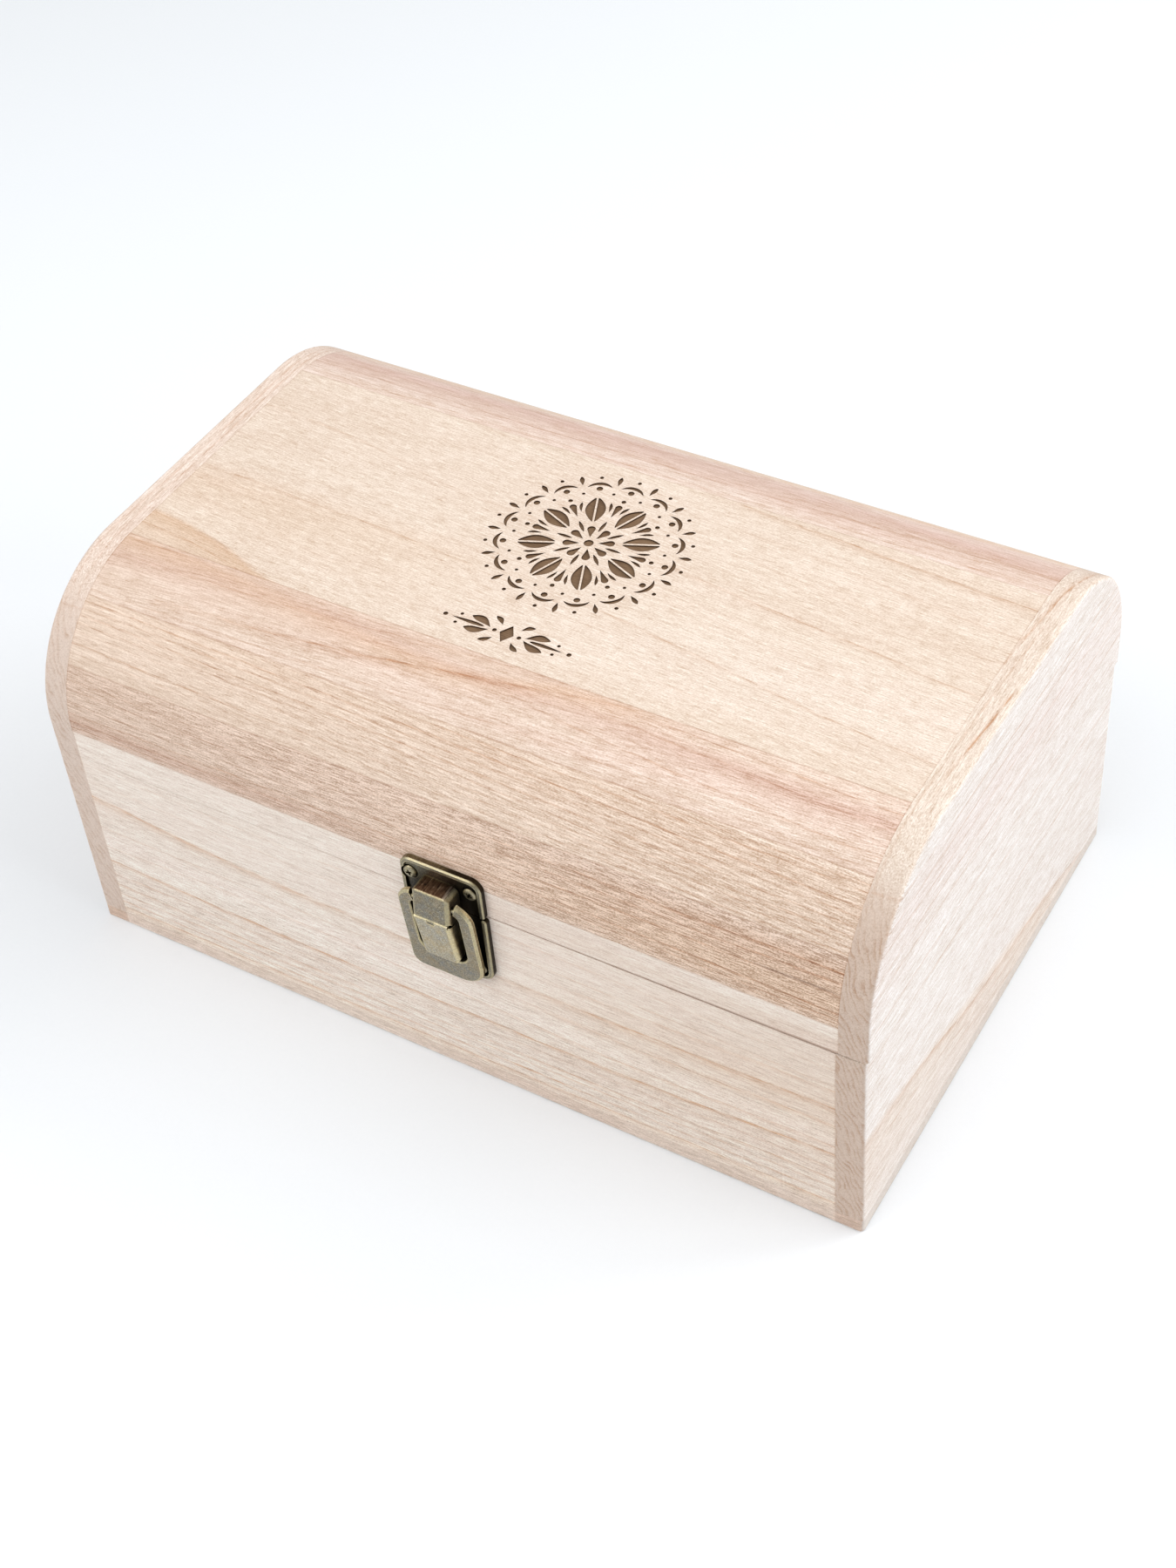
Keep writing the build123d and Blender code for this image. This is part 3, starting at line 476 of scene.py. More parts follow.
FRONT = dict(base=lit(233, 219, 207, 1.01), warm=0.35, seed=2.0, lines=F_LINES, shades=F_SHADES, tints=F_TINTS, slope=-0.004, wave=0.55,
             band=0.8, streak=0.9, cloud=0.7, line_k=1.22, line_rgb=(0.80, 0.56, 0.39), fine=1.18, calm=(22.0, 78.0, 1.06, 0.66))
front = wood("wood_front", "front", ends=(X0, X1), vmin=6.0, rims=SEAM_SHADE, **FRONT)
rail = wood("wood_front_rail", "front", ends=(X0, X1L), vmax=98.9, rims=SEAM_SHADE, **FRONT)
R_LINES = [(1.2, 4.5, [(-145, 60, .6), (0, 64, .7), (145, 66, .6)]), (1.0, 3.5, [(-145, 38, .6), (0, 41, .7), (145, 42, .6)]),
           (0.6, 2.5, [(-145, 20, .5), (0, 22, .5), (145, 23, .5)]), (0.6, 2.2, [(-145, 80, .3), (0, 83, .4), (145, 84, .3)])]
REAR = dict(warm=0.8, base=lit(230, 214, 201, 1.0), seed=21.0, slope=-0.015, ring=0.14, ring_gap=12, wave=1.0)
rear = wood("wood_rear", "rear", lines=R_LINES, ends=(X0, X1), vmin=6.0, **REAR)
rear_rail = wood("wood_rear_rail", "rear", lines=R_LINES, ends=(X0, X1L), vmax=100.0, **REAR)

stave1 = wood("wood_stave_tan", "arc_f", base=lit(218, 194, 176, 1.08), seed=5.0, slope=0.006, wave=0.45, warm=0.6, fine=1.30, streak=1.25, band=1.4, pores=1.3, line_k=1.0, grow=1.3, mauve=0.12,
              lines=[(0.5, 1.4, [(-145, 120.5, .25), (-40, 121.0, .15), (40, 120.6, .35), (90, 120.2, .75), (145, 120.4, .80)]),
                     (0.5, 1.2, [(-145, 117.0, .30), (0, 117.2, .20), (90, 116.6, .55), (145, 116.8, .60)]),
                     (0.5, 1.2, [(-145, 112.0, .30), (0, 112.4, .25), (80, 112.8, .55), (145, 112.6, .50)]),
                     (0.5, 1.2, [(-145, 107.6, .45), (-100, 108.0, .50), (-30, 107.4, .50), (50, 107.0, .40), (100, 106.6, .85), (145, 105.6, .85)]),
                     (0.4, 1.0, [(-145, 104.0, .45), (-60, 104.4, .40), (0, 105.0, .30), (100, 103.6, .45), (145, 103.0, .45)]),
                     (0.4, 1.0, [(-145, 101.4, .40), (0, 101.6, .20), (145, 101.4, .35)])],
              shades=[(3.0, 6.0, [(-145, 105.0, .42), (-60, 105.0, .32), (-20, 105.0, .10), (145, 105.0, .15)]),
                      (4.0, 14.0, [(-20, 121.0, 0.0), (40, 121.0, .14), (100, 121.0, .38), (145, 121.0, .50)]),
                      (2.0, 8.0, [(-145, 124.0, .12), (0, 124.0, .05), (145, 124.0, .10)])],
              tints=[((0.62, 0.60, 0.60), 0.5, 0.9, [(100, 113.0, 0.0), (114, 112.8, .25), (122, 112.8, .95), (134, 113.0, 1.0), (141, 113.0, .9), (145, 113.0, .5)]),
                     (MAUVE, 5.0, 6.0, [(-145, 103.0, .6), (-60, 103.0, .4), (20, 103.0, .0), (145, 103.0, .0)]),
                     ((1.0, 0.955, 0.88), 16.0, 18.0, [(-60, 108.0, .0), (20, 108.0, .5), (100, 108.0, .9), (145, 108.0, 1.0)])],
              ends=(X0, X1L), vmin=98.9, vmax=125.57)
stave2 = wood("wood_stave_cream", "arc_f", base=lit(237, 215, 196, 1.20), seed=9.0, slope=0.030, wave=0.5, warm=0.7, fine=0.72, streak=1.25, band=1.4, pores=1.4, line_k=0.80, grow=1.4, mauve=0.10,
              lines=[(0.4, 1.4, [(-145, 148.6, .60), (-60, 146.6, .60), (0, 145.6, .75), (60, 143.6, .75), (145, 141.6, .60)]),
                     (0.4, 1.0, [(-145, 146.0, .45), (0, 142.6, .45), (145, 138.8, .45)]),
                     (0.4, 1.2, [(-145, 143.6, .45), (-60, 141.0, .50), (0, 139.6, .55), (145, 135.6, .50)]),
                     (0.4, 1.0, [(-145, 140.6, .40), (0, 136.8, .35), (145, 132.6, .50)]),
                     (0.4, 1.3, [(-145, 133.6, .65), (-110, 132.4, .70), (-70, 131.6, .40), (0, 131.8, .30), (145, 129.0, .45)]),
                     (0.4, 1.0, [(-145, 137.6, .25), (0, 134.2, .30), (145, 130.6, .45)]),
                     (0.4, 1.0, [(-145, 130.0, .25), (0, 128.6, .30), (145, 127.0, .55)]),
                     (0.4, 1.2, [(-40, 149.6, .30), (20, 148.6, .55), (145, 146.2, .70)]),
                     (0.4, 1.0, [(20, 150.6, .0), (60, 149.6, .40), (145, 148.4, .60)])],
              shades=[(3.0, 10.0, [(-145, 148.0, .16), (0, 147.0, .20), (145, 147.0, .22)]), (6.0, 14.0, [(0, 138.0, 0.0), (60, 138.0, .10), (145, 138.0, .16)])],
              ends=(X0, X1L), vmin=125.57, vmax=150.61)
stave3 = wood("wood_stave_rose", "arc_f", base=lit(244, 221, 203, 1.32), seed=14.0, slope=-0.035, wave=0.9, warm=0.8, fine=0.84, band=1.3, ripple=1.0, cloud=1.6, pores=0.9, line_k=0.92, grow=0.6, mauve=0.45,
              lines=[(1.2, 4.0, [(-130, 155.0, 0.0), (-118, 156.4, .40), (-85, 158.4, .50), (-60, 160.2, .70), (-45, 161.8, .95), (-10, 167.0, .95), (5, 169.0, .75), (30, 173.4, .60), (48, 176.0, .50), (70, 178.0, 0.0)]),
                     (0.6, 2.0, [(-145, 175.6, .60), (-110, 176.4, .45), (-80, 177.4, .20), (0, 178, 0.0)]),
                     (0.6, 2.4, [(-145, 168.0, .30), (-80, 170.0, .40), (-20, 174.6, .40), (30, 178.0, .2)]),
                     (0.6, 1.8, [(5, 168.0, 0.0), (20, 165.2, .45), (60, 161.6, .55), (100, 159.6, .55), (145, 157.2, .45)]),
                     (0.5, 1.4, [(40, 175.6, .2), (90, 174.4, .50), (145, 172.6, .60)]),
                     (0.5, 1.4, [(20, 171.0, 0.0), (60, 170.0, .40), (145, 167.0, .40)]),
                     (0.5, 1.4, [(-100, 153.0, .30), (-40, 153.6, .35), (40, 155.6, .25), (145, 153.0, .35)])],
              shades=[(4.0, 16.0, [(-145, 174.0, .50), (-100, 174.0, .44), (-60, 174.0, .34), (-20, 174.0, .30), (20, 176.0, .22), (50, 177.0, 0.05), (145, 177.0, 0.0)]),
                      (3.0, 7.0, [(0, 168.0, .0), (40, 169.0, .20), (90, 169.0, .30), (145, 168.0, .26)]),
                      (3.0, 5.0, [(-145, 158.0, .12), (-60, 158.0, .05), (0, 158.0, 0.0)])],
              tints=[(MAUVE, 5.0, 8.0, [(-145, 168.0, .4), (-60, 172.0, .5), (20, 168.0, .5), (90, 168.0, .9), (145, 168.0, .9)]),
                     (ORANGE, 3.0, 8.0, [(-145, 176.0, .6), (-80, 172.0, .5), (-10, 168.0, .7), (40, 176.0, .6), (80, 176, 0.0)]),
                     (PALE, 6.0, 8.0, [(20, 160.0, .0), (60, 160.0, .6), (100, 159.0, .9), (145, 159.0, 1.0)])],
              ends=(X0, X1L), vmin=150.61, vmax=177.54, glue=1.2)
T_LINES = [
    (0.8, 3.2, [(25, 282.0, 0.0), (40, 279.8, .60), (70, 277.0, .80), (100, 274.8, .75), (145, 272.2, .85)]),
    (0.6, 2.2, [(30, 268.0, 0.0), (60, 266.4, .30), (100, 262.0, .32), (140, 257.8, .30)]),
    (0.6, 2.0, [(20, 258.0, .0), (60, 254.0, .20), (145, 246.0, .22)]),
    (0.7, 2.8, [(10, 244.5, .0), (30, 241.4, .35), (60, 238.0, .52), (95, 234.4, .60), (145, 228.6, .50)]),
    (0.6, 2.0, [(30, 226.0, .15), (100, 217.0, .22), (145, 211.0, .20)]),
    (0.7, 2.4, [(-10, 214.0, .10), (20, 211.6, .35), (45, 208.4, .60), (75, 203.8, .50), (100, 199.4, .62), (145, 194.8, .55)]),
    (0.6, 2.2, [(0, 196.0, .0), (40, 192.0, .16), (145, 180.6, .22)]),
    (0.6, 2.2, [(-145, 220.6, .50), (-110, 219.4, .45), (-70, 217.6, .50), (-40, 214.4, .45), (-15, 211.0, .15)]),
    (0.6, 2.0, [(-145, 257.4, .38), (-110, 254.8, .42), (-80, 249.8, .20), (-60, 246.0, .18)]),
    (0.6, 1.8, [(-145, 240.0, .18), (-90, 235.0, .14), (-40, 230.0, .10)]),
    (0.6, 1.8, [(-100, 283.0, .0), (-60, 279.0, .30), (-30, 276.0, .22), (0, 274.0, .10)]),
    (1.6, 6.0, [(-145, 191.6, .40), (-125, 189.4, .45), (-110, 186.0, .42), (-95, 181.6, .42), (-84, 178.0, .40), (-70, 174.0, .3)]),
    (0.6, 1.8, [(-145, 184.6, .50), (-125, 183.0, .50), (-105, 180.0, .45), (-95, 177.6, .4)]),
    (0.6, 1.8, [(-145, 206.0, .14), (-100, 200.0, .16), (-60, 193.0, .14), (-30, 186.0, .12)]),
]
T_SHADES = [(3.0, 24.0, [(-145, 190.0, .42), (-120, 187.0, .46), (-100, 181.0, .46), (-84, 175.0, .4), (-60, 168.0, .0)]),
            (10.0, 18.0, [(-145, 214.0, .12), (-80, 206.0, .10), (-30, 198.0, .0)]),
            (10.0, 12.0, [(-145, 262.0, .10), (-90, 256.0, .08), (-40, 250.0, .0)]),
            (4.0, 6.0, [(-145, 281.0, .06), (0, 281.0, .05), (60, 279.0, .16), (145, 274.0, .22)])]
top = wood("wood_top", "top", base=lit(250, 231, 213, 1.37), seed=31.0, slope=0.045, wave=0.9, lines=T_LINES, shades=T_SHADES, ripple=0.9,
           warm=0.8, fine=1.0, streak=0.85, band=0.8, cloud=1.0, pores=0.8, line_k=0.86, mauve=0.16,
           tints=[(ORANGE, 10.0, 30.0, [(-145, 215.0, .35), (-60, 215.0, .25), (0, 215.0, 0.0)]), (ORANGE, 2.0, 18.0, [(-145, 191.0, .8), (-110, 185.0, .8), (-80, 176.0, .6), (-50, 176, .0)]),
                  ((1.05, 1.075, 1.11), 24.0, 26.0, [(-20, 196.0, 0.0), (60, 205.0, .7), (145, 212.0, .9)])],
           ends=(X0, X1L), vmin=177.54, vmax=280.54, engraved=True)
rear3 = wood("wood_rear_upper", "arc_r", base=lit(244, 223, 208, 1.30), warm=1.0, seed=37.0, slope=0.004, wave=0.7, streak=1.3, band=1.5, mauve=0.5,
             lines=[(0.5, 1.6, [(-145, 174.0, .35), (0, 175.0, .45), (145, 174.0, .45)]), (0.5, 1.6, [(-145, 168.0, .40), (0, 169.0, .50), (145, 167.0, .50)])],
             shades=[(10.0, 14.0, [(-145, 164.0, .30), (0, 164.0, .34), (145, 164.0, .30)])],
             tints=[(MAUVE, 14.0, 12.0, [(-145, 160.0, .8), (0, 160.0, .9), (145, 160.0, .8)])], ends=(X0, X1L), vmax=178.0)
rear2 = wood("wood_rear_middle", "arc_r", base=lit(233, 210, 190, 1.18), seed=43.0, slope=-0.012, ring=0.12, ring_gap=5, streak=1.3, ends=(X0, X1L))
rear1 = wood("wood_rear_lower", "arc_r", base=lit(222, 197, 178, 1.08), seed=47.0, slope=0.012, ring=0.14, ring_gap=6, streak=1.3, ends=(X0, X1L))
E_LINES = [(0.4, 1.4, [(-100, 98.0, .45), (-40, 94.0, .40), (20, 90.0, .35), (100, 85.0, .30)]),
           (0.4, 1.4, [(-100, 84.0, .30), (-40, 80.0, .45), (20, 76.0, .35), (60, 72.0, .50), (100, 69.0, .35)]),
           (0.4, 1.2, [(-100, 112.0, .40), (-40, 108.4, .40), (30, 106.0, .45), (100, 101.0, .35)]),
           (0.4, 1.2, [(-100, 118.0, .35), (-40, 116.0, .45), (30, 112.6, .40), (100, 109.0, .35)]),
           (0.4, 1.2, [(-100, 127.0, .35), (-40, 124.0, .50), (30, 121.0, .45), (100, 117.0, .45)]),
           (0.4, 1.2, [(-100, 133.0, .40), (-40, 131.0, .45), (30, 128.6, .50), (100, 124.0, .55)]),
           (0.4, 1.2, [(-100, 140.0, .45), (-40, 138.4, .50), (30, 134.0, .50), (100, 128.0, .40)]),
           (0.4, 1.2, [(-100, 60.0, .25), (-40, 57.0, .25), (30, 54.0, .35), (100, 50.0, .25)]),
           (0.8, 5.0, [(-100, 46.0, .35), (-60, 41.0, .45), (-40, 35.0, .65), (-10, 26.0, .70), (20, 21.0, .60), (50, 16.0, .55), (85, 6.0, .45), (100, 2.0, .3)]),
           (0.4, 1.6, [(-100, 37.0, .35), (-60, 32.0, .35), (-10, 19.0, .35), (40, 11.0, .35), (70, 4.0, .3)]),
           (0.4, 1.4, [(-100, 28.0, .20), (-40, 20.0, .20), (0, 12.0, .3), (30, 6.0, .3)])]
E_SHADES = [(4.0, 60.0, [(-100, 46.0, .24), (-60, 41.0, .20), (-30, 33.0, .17), (0, 24.0, .15), (40, 17.0, .12), (80, 6.0, .06), (100, 0.0, .03)])]
E_TINTS = [(ORANGE, 4.0, 60.0, [(-100, 46.0, .5), (-30, 33.0, .5), (40, 17.0, .6), (90, 4.0, .4)]),
           (PINK, 14.0, 30.0, [(-100, 130.0, .5), (0, 125.0, .5), (100, 115.0, .3)])]
XR = [(0.5, 1.8, [(-60, 150.0, .0), (-40, 150.6, .35), (-15, 152.4, .75), (0, 153.6, .80), (10, 154.4, .0)]),
      (0.6, 2.0, [(5, 145.6, .0), (18, 146.2, .75), (32, 147.4, .95), (50, 149.6, .80), (75, 152.6, .55), (95, 154.0, .4)]),
      (0.4, 1.2, [(-60, 147.5, .25), (0, 148.6, .30), (40, 150.6, .25)])]
XL = [(0.5, 1.4, [(-60, -152.0, .30), (0, -150.4, .35), (60, -149.4, .35), (95, -148.8, .4)]),
      (0.4, 1.2, [(-60, -148.4, .25), (20, -147.6, .40), (60, -147.2, .40)])]
END = dict(warm=0.8, line_k=1.1, line_rgb=(0.76, 0.53, 0.38), slope=0.045, wave=0.6, fine=1.0, streak=1.0, band=0.8, cloud=0.6, pores=0.9, mauve=0.2)
# painted light: side paints the right end's broad face paler and cooler, a wash of light
end_r = wood("wood_end_right", "end", seed=53.0, lines=E_LINES, shades=E_SHADES, tints=E_TINTS, xlines=XR, base=lit(249, 232, 216, 1.36), end=(0.860, 0.800, 0.775), end_ring=2.0,
             side=(1.034, 1.120, 1.235), depth_tilt=2.4, **END)
end_l = wood("wood_end_left", "end", seed=59.0, ring=0.10, ring_gap=11, lines=E_LINES[:8], xlines=XL, base=lit(252, 232, 217, 1.36), end=(0.93, 0.925, 0.925), end_ring=1.5,
             side=(1.03, 1.04, 1.05), depth_tilt=2.0, **END)
panel = wood("wood_bottom_panel", "panel", base=lit(221, 204, 190, 1.0), seed=67.0, slope=0.02, ring=0.2, ring_gap=14,
             warm=0.4, end=(0.94, 1.06, 1.18), end_ring=0.6, corner=(0.84, 0.79, 0.77),
             rims=[((1.0, 0.93, 0.86), 400.0, 400.0, [(-155, 0.0, 1.0), (-146, 0.0, 1.0), (-144, 0.0, 0.0), (155, 0.0, 0.0)]),
                   ((0.97, 0.93, 0.89), 400.0, 400.0, [(-155, 0.0, 0.0), (144, 0.0, 0.0), (146, 0.0, 1.0), (155, 0.0, 1.0)])])

for n, mt in (("base_front_board", front), ("lid_front_rail", rail), ("base_rear_board", rear), ("lid_rear_rail", rear_rail),
              ("lid_front_stave_lower", stave1), ("lid_front_stave_middle", stave2), ("lid_front_stave_upper", stave3),
              ("lid_top_board", top), ("lid_rear_stave_upper", rear3), ("lid_rear_stave_middle", rear2), ("lid_rear_stave_lower", rear1),
              ("base_end_left", end_l), ("lid_end_left", end_l), ("base_end_right", end_r), ("lid_end_right", end_r),
              ("base_bottom_panel", panel)):
    assign(n, mt)


# ------------------------------------------------------------------ the cut ornament in the lid's top board
def arc_pts(cx, cy, r, a0, a1, n):
    return [(cx + r * math.cos(a0 + (a1 - a0) * i / n), cy + r * math.sin(a0 + (a1 - a0) * i / n)) for i in range(n + 1)]


def disc(cx, cy, r, n=None):
    n = n or max(12, int(r * 14))
    return arc_pts(cx, cy, r, 0, 2 * math.pi, n)[:-1]


def blade(p, q, width, bulge=0.5, bend=0.0, side=0, gap=0.0, n=14):
    """A leaf from p to q, widest at the fraction bulge; side keeps one half beside a rib of the given gap."""
    px, py = p
    dx, dy = q[0] - p[0], q[1] - p[1]
    ln = math.hypot(dx, dy)
    tx, ty = dx / ln, dy / ln
    sx, sy = -ty, tx

    def w(t):
        e = math.log(0.5) / math.log(bulge)
        return 0.5 * width * math.sin(math.pi * t ** e) ** 0.85

    def at(t, o):
        b = bend * math.sin(math.pi * t)
        return (px + dx * t + sx * (o + b), py + dy * t + sy * (o + b))
    ts = [i / n for i in range(n + 1)]
    if side == 0:
        return [at(t, w(t)) for t in ts] + [at(t, -w(t)) for t in reversed(ts[1:-1])]
    keep = [t for t in ts if w(t) > gap + 0.05]
    out = [at(t, side * w(t)) for t in keep] + [at(t, side * gap) for t in reversed(keep)]
    return out if side > 0 else out[::-1]


def drop(p, q, r, n=12):
    """A point at p swelling to a round end of radius r about q."""
    a = math.atan2(q[1] - p[1], q[0] - p[0])
    ln = math.hypot(q[0] - p[0], q[1] - p[1])
    b = math.acos(min(0.99, r / ln))
    return [p] + [(q[0] + r * math.cos(t), q[1] + r * math.sin(t)) for t in [a - (math.pi - b) + (2 * (math.pi - b)) * i / n for i in range(n + 1)]]


def crescent(cx, cy, r, a, spread, thick, n=16):
    o = [(cx + r * math.cos(a - spread + 2 * spread * i / n), cy + r * math.sin(a - spread + 2 * spread * i / n)) for i in range(n + 1)]
    inn = []
    for i in range(n - 1, 0, -1):
        t = i / n
        rr = r - thick * math.sin(math.pi * t) ** 0.8
        inn.append((cx + rr * math.cos(a - spread + 2 * spread * t), cy + rr * math.sin(a - spread + 2 * spread * t)))
    return o + inn


CX, CY = -0.5, 11.5


def pol(r, a):
    return (CX + r * math.cos(a), CY + r * math.sin(a))


shapes = [disc(CX, CY, 1.7)]
for k in range(8):
    a = math.pi / 8 + k * math.pi / 4
    b = a + math.pi / 8
    shapes.append(drop(pol(3.0, a), pol(7.4, a), 1.45))
    shapes.append(blade(pol(6.2, b), pol(12.4, b), 1.3))
    for s in (1, -1):
        shapes.append(blade(pol(10.6, a), pol(24.6, a), 7.0, 0.52, 0.0, s, 0.32, 18))
    shapes.append(drop(pol(14.6, b), pol(20.4, b), 1.25))
    shapes.append(disc(*pol(23.8, b), 0.85))
    for s in (1, -1):
        shapes.append(blade(pol(16.8, b + s * 0.115), pol(22.0, b + s * 0.165), 1.15, 0.6, -0.3 * s))
for k in range(16):
    a = k * math.pi / 8
    shapes.append(crescent(*pol(27.6, a), 4.75, a, 1.18, 1.55))
    shapes.append(disc(*pol(28.9, a), 1.15))
    shapes.append(disc(*pol(26.5, a + math.pi / 16), 0.62))
    shapes.append(blade(pol(30.9, a + math.pi / 16), pol(35.9, a + math.pi / 16), 1.7, 0.62))
    shapes.append(disc(*pol(34.9, a), 0.72))

DX, DY = -1.5, -39.2
shapes.append([(DX + 2.6, DY), (DX, DY + 4.2), (DX - 2.6, DY), (DX, DY - 4.2)])
for s in (1, -1):
    shapes.append(disc(DX + s * 4.6, DY, 0.8))
    for t in (1, -1):
        shapes.append(blade((DX + s * 6.4, DY + t * 0.42), (DX + s * 14.8, DY + t * 3.0), 3.1, 0.6, 0.9 * s * t))
        shapes.append(blade((DX + s * 3.4, DY + t * 3.1), (DX + s * 7.4, DY + t * 6.2), 1.9, 0.6, 0.5 * s * t))
    shapes.append(blade((DX + s * 8.4, DY), (DX + s * 21.0, DY), 1.5, 0.35))
    shapes.append(disc(DX + s * 18.2, DY + 2.2, 0.62))
    shapes.append(disc(DX + s * 18.2, DY - 2.2, 0.62))
    shapes.append(disc(DX + s * 23.2, DY, 0.85))

XA, XB, YA, YB = -145.0, 145.9, -50.0, 50.0
co = [Vector((XA, YA)), Vector((XB, YA)), Vector((XB, YB)), Vector((XA, YB))]
eds = [(0, 1), (1, 2), (2, 3), (3, 0)]
boxes = []
for sh in shapes:
    i0 = len(co)
    co += [Vector(p) for p in sh]
    eds += [(i0 + i, i0 + (i + 1) % len(sh)) for i in range(len(sh))]
    boxes.append((min(p[0] for p in sh), max(p[0] for p in sh), min(p[1] for p in sh), max(p[1] for p in sh)))
vs2, es2, fs2, _, _, _ = delaunay_2d_cdt(co, eds, [], 0, 1e-5)


def inside(x, y):
    hit = False
    for sh, (a0, a1, b0, b1) in zip(shapes, boxes):
        if not (a0 <= x <= a1 and b0 <= y <= b1):
            continue
        c = False
        j = len(sh) - 1
        for i in range(len(sh)):
            xi, yi = sh[i]
            xj, yj = sh[j]
            if (yi > y) != (yj > y) and x < (xj - xi) * (y - yi) / (yj - yi) + xi:
                c = not c
            j = i
        hit = hit or c
    return hit


DEPTH = 0.62
ZT, ZB = 150.0, 140.0


def drop_z(y):
    return 100 + math.sqrt(2500 - (abs(y) - 50) ** 2) if abs(y) > 50 else ZT


bm = bmesh.new()
topv = [bm.verts.new((p.x * MM, p.y * MM, ZT * MM)) for p in vs2]
lowv = {}


def low(i):
    if i not in lowv:
        lowv[i] = bm.verts.new((vs2[i].x * MM, vs2[i].y * MM, (ZT - DEPTH) * MM))
    return lowv[i]


cut = {}
for f in fs2:
    cx = sum(vs2[i].x for i in f) / len(f)
    cy = sum(vs2[i].y for i in f) / len(f)
    c = inside(cx, cy)
    f = list(f)
    ar = sum(vs2[f[i]].x * vs2[f[(i + 1) % len(f)]].y - vs2[f[(i + 1) % len(f)]].x * vs2[f[i]].y for i in range(len(f)))
    if ar < 0:
        f.reverse()
    bm.faces.new([low(i) if c else topv[i] for i in f])
    for i in range(len(f)):
        cut.setdefault((f[i], f[(i + 1) % len(f)]), c)
for (a, b), c in list(cut.items()):
    if c and cut.get((b, a)) is False:
        bm.faces.new([topv[a], topv[b], low(b), low(a)])
corner = {}
for i, p in enumerate(vs2):
    for k, (qx, qy) in enumerate(((XA, YA), (XB, YA), (XB, YB), (XA, YB))):
        if abs(p.x - qx) < 1e-3 and abs(p.y - qy) < 1e-3:
            corner[k] = topv[i]
yf = [-51.0, -50.5]
yr = [50.5, 51.0, 51.5, 52.0]


def pv(x, y, z):
    return bm.verts.new((x * MM, y * MM, z * MM))


fl = [pv(XA, y, drop_z(y)) for y in yf] + [corner[0]]
fr = [pv(XB, y, drop_z(y)) for y in yf] + [corner[1]]
rl = [corner[3]] + [pv(XA, y, drop_z(y)) for y in yr]
rr = [corner[2]] + [pv(XB, y, drop_z(y)) for y in yr]
for i in range(len(fl) - 1):
    bm.faces.new([fl[i], fr[i], fr[i + 1], fl[i + 1]])
for i in range(len(rl) - 1):
    bm.faces.new([rl[i], rr[i], rr[i + 1], rl[i + 1]])
bl0, br0 = pv(XA, -51.0, ZB), pv(XB, -51.0, ZB)
bl1, br1 = pv(XA, 52.0, ZB), pv(XB, 52.0, ZB)
bm.faces.new([bl0, br0, fr[0], fl[0]])
bm.faces.new([rl[-1], rr[-1], br1, bl1])
bm.faces.new([bl1, br1, br0, bl0])
bm.faces.new([bl0] + fl + rl + [bl1])
bm.faces.new(([br0] + fr + rr + [br1])[::-1])
bmesh.ops.recalc_face_normals(bm, faces=bm.faces)
me = bpy.data.meshes.new("lid_top_engraved")
bm.to_mesh(me)
bm.free()
top_piece = bpy.data.objects.new("lid_top_engraved", me)
sc.collection.objects.link(top_piece)
top_piece.data.materials.append(top)
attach(top_piece, "lid")
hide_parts("lid_top_board")


